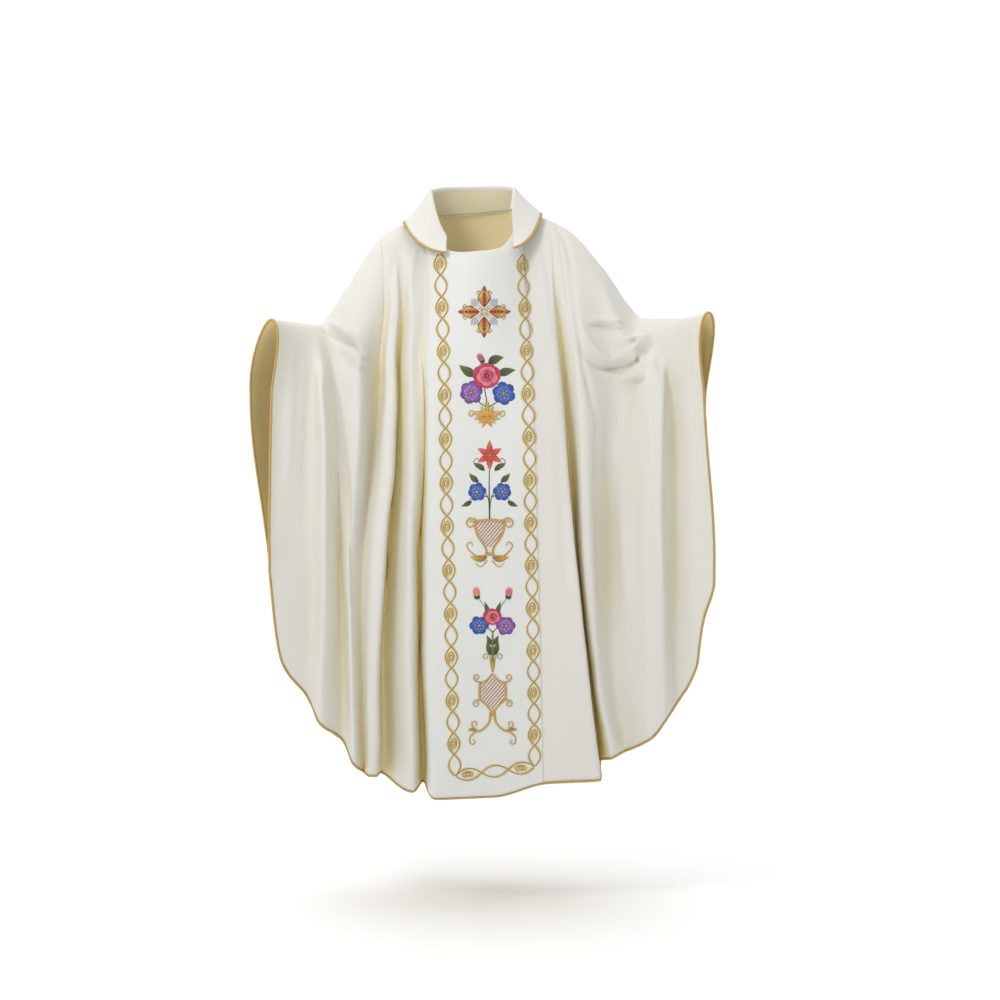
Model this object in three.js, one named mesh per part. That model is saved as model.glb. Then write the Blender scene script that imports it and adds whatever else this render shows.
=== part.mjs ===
// A chasuble worn with both arms held out, as thin cloth walls that keep their hollow form.
// Millimetres, +Z up, the front faces -Y. The origin is on the shoulder line under the neck.

import * as THREE from 'three';

// Cloth and seams
const WALL = 2.0;
const BAND_WALL = 1.2;
const CORD = 5.0;
const CORD_SIDES = 6;
const CORD_GAP = 0.45;
const SHARPEST_MITRE = 0.7;
const SEAM = 0.3;

// Small step along a surface, for its slopes
const STEP = 0.005;

// Heights at which the folds are measured
const CHEST = -350;
const HIP = -690;
const HEM = -1180;


function table(columns, rows) {
  return rows.map((row) => Object.fromEntries(columns.map((column, i) => [column, row[i]])));
}

// Points along the top of both arms and shoulders, where front and back meet.
// roll: how far the cloth rounds out over the arm; turn: the way it rounds, 0 is straight ahead.
const RIDGE_LEFT = table(
  ['name', 'x', 'y', 'z', 'roll', 'turn'],
  [
    ['wrist', -409, -262, -203, 14, 66],
    ['forearm', -368, -150, -209, 20, 60],
    ['elbow', -330, -60, -213, 26, 38],
    ['upper arm', -274, -30, -134, 34, 12],
    ['shoulder', -205, -6, -31, 34, 3],
    ['neck', -112, 0, 12, 18, 0],
  ],
);
const RIDGE_RIGHT = table(
  ['name', 'x', 'y', 'z', 'roll', 'turn'],
  [
    ['neck', 82, 0, 28, 18, 0],
    ['shoulder', 184, -6, -17, 34, -3],
    ['upper arm', 254, -28, -94, 34, -12],
    ['elbow', 338, -55, -200, 26, -38],
    ['forearm', 403, -150, -201, 20, -60],
    ['wrist', 453, -265, -189, 14, -66],
  ],
);
const NECK_LEFT = RIDGE_LEFT.length - 1;
const NECK_RIGHT = NECK_LEFT + 2;
const RIDGE_END = NECK_RIGHT + RIDGE_RIGHT.length - 1;

// The neckline is an oval, off centre and higher on its right side, as the garment is worn.
// half, front and back: reach from its middle; side: height at the shoulders; throatFall: drop ahead;
// lean: how much sooner it drops on the right side than on the left.
const NECKLINE = {
  x: -15,
  half: 97,
  front: 110,
  back: 85,
  side: 20,
  tilt: 8,
  throatFall: 84,
  lean: 0.12,
  roll: 18,
};

// Folds of the front from the wearer's right edge at the left, one row each.
// top: place along the ridge; x and y at chest, hip and hem height; end: where it meets the hem.
const FOLD_COLUMNS = ['name', 'top', 'xChest', 'yChest', 'xHip', 'yHip', 'xHem', 'yHem', 'end'];
const FRONT_FOLDS = table(FOLD_COLUMNS, [
  ['left edge', 0, -411, -246, -420, -226, -404, -205, -708],
  ['left rim', 0.3, -392, -226, -402, -214, -382, -205, -896],
  ['left soft valley', 0.8, -340, -196, -345, -188, -352, -190, -965],
  ['left soft ridge', 1.25, -316, -218, -312, -222, -330, -212, -1014],
  ['left crook valley', 1.8, -296, -160, -283, -162, -279, -170, -1058],
  ['left wing ridge', 2.7, -246, -160, -263, -186, -254, -200, -1102],
  ['left seam valley', 4, -194, -92, -238, -152, -238, -160, -1124],
  ['left wing front', 4.15, -176, -140, -206, -186, -226, -192, -1128],
  ['left wing lip', 4.28, -160, -144, -186, -190, -214, -188, -1129],
  ['left deep valley', 4.42, -153, -98, -181, -112, -201, -112, -1138],
  ['left tube', 4.6, -124, -152, -133, -178, -137, -192, -1161],
  ['left panel valley', 4.85, -105, -138, -114, -124, -117, -124, -1152],
  ['panel left', 5.12, -93, -162, -92, -182, -90, -198, -1174],
  ['panel middle', 6, 10, -168, 18, -186, 26, -186, -1172],
  ['panel right', 7.05, 113, -164, 125, -180, 138, -186, -1144],
  ['right lip', 7.5, 165, -156, 194, -184, 250, -192, -1137],
  ['right deep valley', 7.64, 173, -112, 202, -110, 256, -114, -1112],
  ['right thin ridge', 7.85, 212, -152, 234, -168, 280, -176, -1094],
  ['right broad valley', 8.7, 280, -112, 274, -130, 312, -148, -1084],
  ['right ridge', 9.75, 344, -184, 345, -202, 352, -204, -1048],
  ['right crisp edge', 10.1, 366, -192, 369, -204, 377, -206, -1016],
  ['right outer valley', 10.7, 390, -172, 396, -176, 407, -188, -978],
  ['right rim', 11.4, 422, -216, 434, -216, 440, -212, -902],
  ['right edge', 12, 446, -246, 470, -238, 448, -212, -736],
]);
const BACK_FOLDS = table(FOLD_COLUMNS, [
  ['left edge', 0, -460, -186, -429, -132, -380, -92, -715],
  ['left rim', 0.7, -438, -112, -408, -72, -374, -50, -905],
  ['left arm ridge', 1.5, -390, -22, -370, -6, -350, 18, -1015],
  ['left arm valley', 2.2, -335, 10, -322, 2, -314, 28, -1075],
  ['left wing ridge', 3, -268, 68, -266, 84, -272, 98, -1120],
  ['left blade valley', 3.7, -208, 62, -214, 52, -216, 58, -1152],
  ['left blade ridge', 4.3, -152, 104, -156, 120, -162, 142, -1180],
  ['left panel valley', 5, -92, 94, -96, 84, -94, 88, -1192],
  ['panel middle', 6, -8, 112, -2, 126, 4, 138, -1198],
  ['right panel valley', 7, 78, 96, 90, 86, 98, 92, -1190],
  ['right blade ridge', 7.7, 140, 106, 152, 122, 164, 138, -1176],
  ['right blade valley', 8.4, 202, 62, 212, 50, 224, 62, -1150],
  ['right wing ridge', 9.2, 262, 70, 268, 86, 280, 96, -1114],
  ['right arm valley', 10, 334, 14, 336, 6, 332, 28, -1068],
  ['right arm ridge', 10.7, 396, -26, 392, -8, 374, 14, -1000],
  ['right rim', 11.4, 440, -116, 428, -74, 398, -52, -888],
  ['right edge', 12, 456, -190, 447, -134, 414, -96, -712],
]);

// Seams between the centre panels and the wings, and the band, as places along the ridge
const SEAM_LEFT = 4;
const SEAM_RIGHT = 7.75;
const BAND = { left: NECK_LEFT, right: NECK_RIGHT, firstRow: 1 };

// Columns and rows of the cloth walls
const GRID = {
  wingLeft: 18,
  besideBandLeft: 16,
  band: 12,
  besideBandRight: 7,
  wingRight: 20,
  frontRows: 16,
  backRows: 12,
};

// Columns of the collar for each column of the panels
const COLLAR_SPLIT = 2;

// The collar from its inner seam over the standing rim to its outer edge.
// half, front, back: reach from the neck's middle; side, throat, nape: height there;
// leftEnd, rightEnd: angle from the front, in degrees, at which the open collar ends.
const COLLAR = table(
  ['name', 'half', 'front', 'back', 'side', 'throat', 'nape', 'tilt', 'leftEnd', 'rightEnd'],
  [
    ['inner seam', 98.5, 111.5, 86.5, 22.2, -61.8, 22.2, 8, -33, 58],
    ['inner wall', 92, 106, 80, 44, -57, 48, 5, -35, 63],
    ['rim inside', 84, 104, 76, 64, -53, 73, 2, -38, 68],
    ['rim', 87.5, 108, 80, 70, -50, 79, 2, -37, 68],
    ['rim outside', 93, 114, 86, 64, -52, 72, 2, -34, 62],
    ['outer wall', 116, 122, 101, 36, -58, 37, 6, -27, 46],
    ['outer edge', 142, 132, 124, 11.5, -64, 2, 8.5, -21.5, 36],
  ],
);

// Cubic through values at unevenly spaced places
function cubicThrough(places, values, at, startSlope) {
  const last = places.length - 1;
  let i = 0;
  while (i < last - 1 && at > places[i + 1]) i += 1;
  const slope = (k) => {
    if (k === 0 && startSlope !== undefined) return startSlope;
    const a = Math.max(0, k - 1);
    const b = Math.min(last, k + 1);
    return (values[b] - values[a]) / (places[b] - places[a]);
  };
  const span = places[i + 1] - places[i];
  const t = (at - places[i]) / span;
  const t2 = t * t;
  const t3 = t2 * t;
  return (
    (2 * t3 - 3 * t2 + 1) * values[i] +
    (t3 - 2 * t2 + t) * span * slope(i) +
    (3 * t2 - 2 * t3) * values[i + 1] +
    (t3 - t2) * span * slope(i + 1)
  );
}

// Slope at a row that neither overshoots its neighbours nor tilts a ridge or a valley floor
function calmSlope(before, after) {
  if (before * after <= 0) return 0;
  const limit = 2.5 * Math.min(Math.abs(before), Math.abs(after));
  return Math.sign(after) * Math.min(Math.abs(before + after) / 2, limit);
}

// A value read across the rows of a table, at a place that may lie between two rows
function across(rows, at, read) {
  const last = rows.length - 1;
  const i = Math.min(Math.max(Math.floor(at), 0), last - 1);
  const near = [i - 1, i, i + 1, i + 2].map((k) => Math.min(Math.max(k, 0), last));
  const values = near.map((k) => read(rows[k]));
  const steps = [0, 1, 2].map((k) => values[k + 1] - values[k]);
  const m0 = i === 0 ? steps[1] : calmSlope(steps[0], steps[1]);
  const m1 = i === last - 1 ? steps[1] : calmSlope(steps[1], steps[2]);
  const t = at - i;
  const t2 = t * t;
  const t3 = t2 * t;
  return (
    (2 * t3 - 3 * t2 + 1) * values[1] +
    (t3 - 2 * t2 + t) * m0 +
    (3 * t2 - 2 * t3) * values[2] +
    (t3 - t2) * m1
  );
}

function smooth(t) {
  const c = Math.min(Math.max(t, 0), 1);
  return c * c * (3 - 2 * c);
}

// Angle round the neck from the front, for a place between the two neck rows of the ridge
function neckAngle(station) {
  return ((station - NECK_LEFT - 1) * Math.PI) / 2;
}

// The right side of the neckline and the collar drops sooner than the left
function leaning(reach, angle) {
  return reach * (1 + NECKLINE.lean * Math.sin(angle));
}

// Point of the ridge or the neckline, with the cloth's rounding there. side: -1 front, 1 back.
function topPoint(station, side) {
  if (station > NECK_LEFT && station < NECK_RIGHT) {
    const angle = neckAngle(station);
    const reach = Math.cos(angle);
    const depth = side < 0 ? NECKLINE.front : NECKLINE.back;
    const fall = side < 0 ? NECKLINE.throatFall * smooth(leaning(reach, angle)) : 0;
    return {
      x: NECKLINE.x + NECKLINE.half * Math.sin(angle),
      y: side * depth * reach,
      z: NECKLINE.side + NECKLINE.tilt * Math.sin(angle) - fall,
      roll: NECKLINE.roll,
      turn: 0,
    };
  }
  const rows = station <= NECK_LEFT ? RIDGE_LEFT : RIDGE_RIGHT;
  const at = station <= NECK_LEFT ? station : station - NECK_RIGHT;
  const read = (key) => across(rows, at, (row) => row[key]);
  return { x: read('x'), y: read('y'), z: read('z'), roll: read('roll'), turn: read('turn') };
}

// Share of the fold's length reached at v: the steps grow from the ridge down, then stay even
function dropShare(v) {
  const growing = 0.3;
  const reached = v < growing ? (v * v) / (2 * growing) : v - growing / 2;
  return reached / (1 - growing / 2);
}

// Rounding over the arm: rises at once, is full a quarter of the way to the chest, then fades
function rounding(share) {
  const fullAt = 0.25;
  const curve = (w) => Math.sqrt(w) * Math.pow(1 - w, 1.5);
  return curve(Math.min(Math.max(share, 0), 1)) / curve(fullAt);
}

// A sheet of cloth: u runs along the folds' table, v from the ridge (0) to the hem (1)
function makeSheet(folds, side) {
  const read = (u, key) => across(folds, u, (row) => row[key]);
  const calmChest = (u) => {
    const around = [-2, -1, 0, 1, 2].map((k) => Math.min(Math.max(u + k, 0), folds.length - 1));
    return around.reduce((sum, at) => sum + read(at, 'yChest'), 0) / around.length;
  };
  const point = (u, v) => {
    const top = topPoint(read(u, 'top'), side);
    const z = top.z + (read(u, 'end') - top.z) * dropShare(v);
    const places = [0, top.z - CHEST, top.z - HIP, top.z - HEM];
    const down = top.z - z;
    const xs = [top.x, read(u, 'xChest'), read(u, 'xHip'), read(u, 'xHem')];
    const ys = [top.y, read(u, 'yChest'), read(u, 'yHip'), read(u, 'yHem')];
    const turn = THREE.MathUtils.degToRad(top.turn);
    const out = top.roll * rounding(down / places[1]);
    const ySlope = (calmChest(u) - top.y) / places[1];
    return new THREE.Vector3(
      cubicThrough(places, xs, down, (xs[1] - xs[0]) / places[1]) - side * out * Math.sin(turn),
      cubicThrough(places, ys, down, ySlope) + side * out * Math.cos(turn),
      z,
    );
  };
  const last = folds.length - 1;
  const normal = (u, v) => {
    const u0 = Math.max(u - STEP, 0);
    const u1 = Math.min(u + STEP, last);
    const v0 = Math.max(v - STEP, 0);
    const v1 = Math.min(v + STEP, 1);
    const along = point(u1, v).sub(point(u0, v));
    const down = point(u, v1).sub(point(u, v0));
    return down.cross(along).multiplyScalar(-side).normalize();
  };
  // The place in the table whose fold starts at a given place along the ridge
  const placeOf = (station) => {
    let low = 0;
    let high = last;
    for (let i = 0; i < 40; i += 1) {
      const middle = (low + high) / 2;
      if (read(middle, 'top') < station) low = middle;
      else high = middle;
    }
    return (low + high) / 2;
  };
  return { point, normal, side, last, placeOf, station: (u) => read(u, 'top') };
}

// A thin box bent onto a surface, which gives a closed wall of even thickness
function wall(columns, rows, thickness, place) {
  const geometry = new THREE.BoxGeometry(1, 1, 1, columns, rows, 1);
  const position = geometry.attributes.position;
  for (let i = 0; i < position.count; i += 1) {
    const across01 = position.getX(i) + 0.5;
    const down01 = 0.5 - position.getY(i);
    const moved = place(across01, down01, position.getZ(i) * thickness);
    position.setXYZ(i, moved.x, moved.y, moved.z);
  }
  turnInnerDiagonals(geometry);
  geometry.computeVertexNormals();
  return geometry;
}

// Splits the box's last side, the inner face, along the same diagonals as the outer face
function turnInnerDiagonals(geometry) {
  const inner = geometry.groups[5];
  const index = geometry.index;
  for (let i = inner.start; i < inner.start + inner.count; i += 6) {
    const a = index.getX(i);
    const c = index.getX(i + 4);
    index.setX(i + 2, c);
    index.setX(i + 3, a);
    index.setX(i + 4, c);
  }
}

// One panel of a sheet, with a column of the wall at each of the given places along the ridge
function panel(sheet, stations, rows) {
  const places = stations.map((station) => sheet.placeOf(station));
  const count = places.length - 1;
  const sewnStart = stations[0] > 0;
  const sewnEnd = stations[count] < RIDGE_END;
  return wall(count, rows, WALL, (s, v, depth) => {
    const index = Math.round((sheet.side < 0 ? s : 1 - s) * count);
    const u = places[index];
    const at = sheet.point(u, v).addScaledVector(sheet.normal(u, v), depth);
    if (index === 0 && sewnStart) at.add(seamShift(sheet, u, v, STEP, 0));
    if (index === count && sewnEnd) at.add(seamShift(sheet, u, v, -STEP, 0));
    if (v === 0) at.add(seamShift(sheet, u, v, 0, STEP));
    return at;
  });
}

// Half a seam's gap from an edge of a panel back into the panel
function seamShift(sheet, u, v, stepAcross, stepDown) {
  const inward = sheet.point(u + stepAcross, v + stepDown);
  return inward.sub(sheet.point(u, v)).setLength(SEAM / 2);
}

// The band: the centre front panel's own columns and rows, moved out by both half walls
function band(sheet, stations, panelRows) {
  const places = stations.map((station) => sheet.placeOf(station));
  const count = places.length - 1;
  const rows = panelRows - BAND.firstRow;
  const lift = (WALL + BAND_WALL) / 2 + SEAM;
  return wall(count, rows, BAND_WALL, (s, t, depth) => {
    const u = places[Math.round(s * count)];
    const v = (BAND.firstRow + t * rows) / panelRows;
    return sheet.point(u, v).addScaledVector(sheet.normal(u, v), lift + depth);
  });
}

// A closed ring or an open tube of a cord's section, moved point by point into place
function cordMesh(steps, closed, place) {
  const geometry = closed
    ? new THREE.TorusGeometry(1, 0.5, CORD_SIDES, steps)
    : new THREE.CylinderGeometry(1, 1, 1, CORD_SIDES, steps);
  const position = geometry.attributes.position;
  for (let i = 0; i < position.count; i += 1) {
    let moved;
    if (closed) {
      const turned = (Math.floor(i / (steps + 1)) / CORD_SIDES) * 2 * Math.PI;
      moved = place((i % (steps + 1)) % steps, Math.cos(turned), Math.sin(turned));
    } else {
      const step = Math.round((0.5 - position.getY(i)) * steps);
      moved = place(step, position.getX(i), -position.getZ(i));
    }
    position.setXYZ(i, moved.x, moved.y, moved.z);
  }
  geometry.computeVertexNormals();
  return geometry;
}

// A cord beside an edge: edge points in order, and the way out of the cloth from each
function cordAlong(edge, closed) {
  const count = edge.length;
  // An open cord runs straight on past its two ends
  const pointAt = (i) => {
    if (closed) return edge[(i + count) % count].at;
    if (i < 0) return edge[0].at.clone().multiplyScalar(2).sub(edge[1].at);
    if (i === count) return edge[i - 1].at.clone().multiplyScalar(2).sub(edge[i - 2].at);
    return edge[i].at;
  };
  return cordMesh(closed ? count : count - 1, closed, (step, out, up) => {
    const { at, out: away } = edge[step];
    const ahead = pointAt(step + 1).clone().sub(at).normalize();
    const behind = at.clone().sub(pointAt(step - 1)).normalize();
    const along = ahead.clone().add(behind).normalize();
    const aside = away.clone().addScaledVector(along, -away.dot(along)).normalize();
    const above = aside.clone().cross(along);
    const mitre = 1 / Math.max(along.dot(ahead), SHARPEST_MITRE);
    return at
      .clone()
      .addScaledVector(aside, (CORD / 2 + CORD_GAP) * mitre + (out * CORD) / 2)
      .addScaledVector(above, (up * CORD) / 2);
  });
}

// Points of a sheet's free edge, each with its surface normal
function edgePoints(sheet, places, rows, backwards) {
  const last = places.length - 1;
  const sides = Array.from({ length: rows }, (_, i) => i / rows);
  const down = sides.map((v) => [places[0], v]);
  const hem = places.map((u) => [u, 1]);
  const up = sides.map((v) => [places[last], v]).reverse();
  const route = [...down, ...hem, ...up];
  if (backwards) route.reverse();
  return route.map(([u, v]) => ({ at: sheet.point(u, v), normal: sheet.normal(u, v) }));
}

// The whole hem: along the front, over the right wrist, along the back, over the left wrist
function hemEdge() {
  const stations = [...columns.wing_left, ...columns.centre.slice(1), ...columns.wing_right.slice(1)];
  const frontPlaces = stations.map((station) => front.placeOf(station));
  const backPlaces = stations.map((station) => back.placeOf(station));
  const frontEdge = edgePoints(front, frontPlaces, GRID.frontRows, false);
  const backEdge = edgePoints(back, backPlaces, GRID.backRows, true);
  const loop = [...frontEdge, ...backEdge.slice(1, -1)];
  return loop.map(({ at, normal }, i) => {
    const ahead = loop[(i + 1) % loop.length].at;
    const behind = loop[(i + loop.length - 1) % loop.length].at;
    return { at, out: ahead.clone().sub(behind).cross(normal).normalize() };
  });
}

// Middle of the collar's wall on one row of its table, at an angle round the neck from the front
function collarPoint(row, angle) {
  const ahead = Math.cos(angle);
  const reach = ahead > 0 ? row.front : row.back;
  const middle = ahead > 0 ? row.throat : row.nape;
  const drop = ahead > 0 ? smooth(leaning(ahead, angle)) : smooth(-ahead);
  return new THREE.Vector3(
    NECKLINE.x + row.half * Math.sin(angle),
    -reach * ahead,
    row.side + row.tilt * Math.sin(angle) + (middle - row.side) * drop,
  );
}

// Angles at which the panels have their columns, from the collar's right end round the nape to its left
function seamAngles() {
  const seam = COLLAR[0];
  const all = underBand.map(neckAngle);
  const behind = all.slice(1, -1).map((angle) => Math.PI - angle);
  const degrees = THREE.MathUtils.degToRad;
  const right = all.filter((angle) => angle > degrees(seam.rightEnd));
  const left = all.filter((angle) => angle < degrees(seam.leftEnd)).map((angle) => angle + 2 * Math.PI);
  return [...right, ...behind.sort((a, b) => a - b), ...left];
}

// The angle on one row of the collar that belongs to an angle on its seam: the same behind the
// shoulders, and spread or drawn in ahead of them, so that each row ends at its own angle
function rowAngle(row, angle, seam) {
  const shoulder = Math.PI / 2;
  const ends = [row.rightEnd, row.leftEnd + 360].map(THREE.MathUtils.degToRad);
  if (angle < shoulder) {
    return shoulder - ((shoulder - angle) / (shoulder - seam[0])) * (shoulder - ends[0]);
  }
  if (angle <= 3 * shoulder) return angle;
  const ahead = (angle - 3 * shoulder) / (seam[seam.length - 1] - 3 * shoulder);
  return 3 * shoulder + ahead * (ends[1] - 3 * shoulder);
}

// A point of the collar: a place along its seam's angles and a row of its table. The seam itself
// runs straight between the panels' columns, as the neckline of the panels does.
function collarAt(seam, place, k) {
  const i = Math.min(Math.floor(place), seam.length - 2);
  const between = place - i;
  const row = COLLAR[Math.min(Math.max(k, 0), COLLAR.length - 1)];
  if (row === COLLAR[0]) {
    return collarPoint(row, seam[i]).lerp(collarPoint(row, seam[i + 1]), between);
  }
  const angle = seam[i] + (seam[i + 1] - seam[i]) * between;
  return collarPoint(row, rowAngle(row, angle, seam));
}

// The doubled strip of the collar as one wall: up inside, over the rim and down to its edge
function collar() {
  const seam = seamAngles();
  const last = seam.length - 1;
  const rows = COLLAR.length - 1;
  return wall(last * COLLAR_SPLIT, rows, WALL, (s, t, depth) => {
    const place = s * last;
    const k = Math.round(t * rows);
    const round = collarAt(seam, Math.min(place + STEP, last), k);
    round.sub(collarAt(seam, Math.max(place - STEP, 0), k));
    const down = collarAt(seam, place, k + 1).sub(collarAt(seam, place, k - 1));
    return collarAt(seam, place, k).addScaledVector(down.cross(round).normalize(), depth);
  });
}

function collarEdge() {
  const seam = seamAngles();
  const edgeRow = COLLAR.length - 1;
  const count = (seam.length - 1) * COLLAR_SPLIT + 1;
  return Array.from({ length: count }, (_, i) => {
    const at = collarAt(seam, i / COLLAR_SPLIT, edgeRow);
    return { at, out: at.clone().sub(collarAt(seam, i / COLLAR_SPLIT, edgeRow - 1)) };
  });
}

const front = makeSheet(FRONT_FOLDS, -1);
const back = makeSheet(BACK_FOLDS, 1);

// Places along the ridge, spread evenly over the front's folds
function stationsBetween(from, to, count) {
  const start = front.placeOf(from);
  const reach = front.placeOf(to) - start;
  return Array.from({ length: count + 1 }, (_, i) => {
    if (i === 0) return from;
    return i === count ? to : front.station(start + (reach * i) / count);
  });
}

// Front and back share their columns, so that the walls meet point to point along the ridge
const underBand = stationsBetween(BAND.left, BAND.right, GRID.band);
const columns = {
  wing_left: stationsBetween(0, SEAM_LEFT, GRID.wingLeft),
  centre: [
    ...stationsBetween(SEAM_LEFT, BAND.left, GRID.besideBandLeft).slice(0, -1),
    ...underBand,
    ...stationsBetween(BAND.right, SEAM_RIGHT, GRID.besideBandRight).slice(1),
  ],
  wing_right: stationsBetween(SEAM_RIGHT, RIDGE_END, GRID.wingRight),
};

const group = new THREE.Group();

function add(name, geometry, finish) {
  const mesh = new THREE.Mesh(geometry, new THREE.MeshStandardMaterial(finish));
  mesh.name = name;
  group.add(mesh);
}

const cream = { color: 0xefe9dc, roughness: 0.85, metalness: 0 };
const white = { color: 0xf6f4ec, roughness: 0.85, metalness: 0 };
const gold = { color: 0xc9a24a, roughness: 0.45, metalness: 0.4 };

Object.entries(columns).forEach(([name, stations]) => {
  add(`front_${name}`, panel(front, stations, GRID.frontRows), cream);
  add(`back_${name}`, panel(back, stations, GRID.backRows), cream);
});
add('front_band', band(front, underBand, GRID.frontRows), white);
add('collar', collar(), cream);
add('collar_piping', cordAlong(collarEdge(), false), gold);
add('hem_piping', cordAlong(hemEdge(), true), gold);

export default group;
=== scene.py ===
"""The chasuble's look: cloth panels, collar, cords and the embroidered front band."""

import math

import bpy
import numpy as np
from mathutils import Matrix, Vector


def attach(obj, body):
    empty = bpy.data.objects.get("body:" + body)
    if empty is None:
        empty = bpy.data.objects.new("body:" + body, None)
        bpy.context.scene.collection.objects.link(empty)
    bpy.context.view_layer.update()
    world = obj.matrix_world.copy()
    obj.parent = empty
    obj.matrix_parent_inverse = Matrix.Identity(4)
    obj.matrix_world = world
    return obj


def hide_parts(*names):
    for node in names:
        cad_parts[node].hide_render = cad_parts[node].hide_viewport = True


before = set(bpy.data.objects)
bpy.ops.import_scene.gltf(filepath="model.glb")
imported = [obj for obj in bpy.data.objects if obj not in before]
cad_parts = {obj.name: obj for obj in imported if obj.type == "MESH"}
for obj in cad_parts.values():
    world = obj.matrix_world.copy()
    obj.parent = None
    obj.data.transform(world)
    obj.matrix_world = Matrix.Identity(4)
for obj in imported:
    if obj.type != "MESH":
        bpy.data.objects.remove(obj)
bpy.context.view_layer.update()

MM = 0.001

# Thickness in millimetres: the panels' solids, the band, the cloth shown, the collar's cloth and the cords
WALL = 2.0
BAND_WALL = 1.2
CLOTH = 1.3
COLLAR_CLOTH = 1.8
CORD = 5.0
CORD_SIDES = 8
CORD_GAP = 0.1

# At a seam: the gap between two pieces, and how deep and how wide the cloth sinks in beside it
SEAM_GAP = 0.3
SEAM_SINK = 1.1
SEAM_REACH = 3.2

# How high the band lies over the panel, and how far below its face the stitches start
BAND_LIFT = (WALL + BAND_WALL) / 2 + SEAM_GAP
STITCH_ROOT = 0.15

# Painted shade in the cloth's colour: how far across a fold its walls reach, what a millimetre of a hollow
# adds, and how much inside the collar
FOLD_REACH = 52.0
HOLLOW_PAINTED_SHADE = 0.017
COLLAR_PAINTED_SHADE = 0.62

# Heights at which the folds are measured
CHEST = -350.0
HIP = -690.0
HEM = -1180.0

# Places along the ridge of the seams, the neck and the sheet's ends
SEAM_LEFT = 4.0
SEAM_RIGHT = 7.75
NECK_LEFT = 5.0
NECK_RIGHT = 7.0
RIDGE_END = 12.0


def table(columns, rows):
    """A table's number columns by name; each row starts with its own name."""
    values = np.array([row[1:] for row in rows], float)
    return dict(zip(columns.split(), values.T))


# Points along the top of the arms and shoulders, where front and back meet
RIDGE_COLUMNS = "x y z roll turn"
RIDGE_LEFT = table(RIDGE_COLUMNS, [
    ("wrist", -409, -262, -203, 14, 66),
    ("forearm", -368, -150, -209, 20, 60),
    ("elbow", -330, -60, -213, 26, 38),
    ("upper arm", -274, -30, -134, 34, 12),
    ("shoulder", -205, -6, -31, 34, 3),
    ("neck", -112, 0, 12, 18, 0),
])
RIDGE_RIGHT = table(RIDGE_COLUMNS, [
    ("neck", 82, 0, 28, 18, 0),
    ("shoulder", 184, -6, -17, 34, -3),
    ("upper arm", 254, -28, -94, 34, -12),
    ("elbow", 338, -55, -200, 26, -38),
    ("forearm", 403, -150, -201, 20, -60),
    ("wrist", 453, -265, -189, 14, -66),
])

# The neckline is an oval, off centre, higher on its right side and dropping sooner there
NECKLINE = {
    "x": -15, "half": 97, "front": 110, "back": 85, "side": 20, "tilt": 8, "throat_fall": 84,
    "lean": 0.12, "roll": 18,
}

# Folds from left to right of the front view: place along the ridge, x and y at chest, hip and hem, end
FOLD_COLUMNS = "top x_chest y_chest x_hip y_hip x_hem y_hem end"
FRONT_FOLDS = table(FOLD_COLUMNS, [
    ("left edge", 0, -411, -246, -420, -226, -404, -205, -708),
    ("left rim", 0.3, -392, -226, -402, -214, -382, -205, -896),
    ("left soft valley", 0.8, -340, -196, -345, -188, -352, -190, -965),
    ("left soft ridge", 1.25, -316, -218, -312, -222, -330, -212, -1014),
    ("left crook valley", 1.8, -296, -160, -283, -162, -279, -170, -1058),
    ("left wing ridge", 2.7, -246, -160, -263, -186, -254, -200, -1102),
    ("left seam valley", 4, -194, -92, -238, -152, -238, -160, -1124),
    ("left wing front", 4.15, -176, -140, -206, -186, -226, -192, -1128),
    ("left wing lip", 4.28, -160, -144, -186, -190, -214, -188, -1129),
    ("left deep valley", 4.42, -153, -98, -181, -112, -201, -112, -1138),
    ("left tube", 4.6, -124, -152, -133, -178, -137, -192, -1161),
    ("left panel valley", 4.85, -105, -138, -114, -124, -117, -124, -1152),
    ("panel left", 5.12, -93, -162, -92, -182, -90, -198, -1174),
    ("panel middle", 6, 10, -168, 18, -186, 26, -186, -1172),
    ("panel right", 7.05, 113, -164, 125, -180, 138, -186, -1144),
    ("right lip", 7.5, 165, -156, 194, -184, 250, -192, -1137),
    ("right deep valley", 7.64, 173, -112, 202, -110, 256, -114, -1112),
    ("right thin ridge", 7.85, 212, -152, 234, -168, 280, -176, -1094),
    ("right broad valley", 8.7, 280, -112, 274, -130, 312, -148, -1084),
    ("right ridge", 9.75, 344, -184, 345, -202, 352, -204, -1048),
    ("right crisp edge", 10.1, 366, -192, 369, -204, 377, -206, -1016),
    ("right outer valley", 10.7, 390, -172, 396, -176, 407, -188, -978),
    ("right rim", 11.4, 422, -216, 434, -216, 440, -212, -902),
    ("right edge", 12, 446, -246, 470, -238, 448, -212, -736),
])
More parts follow.
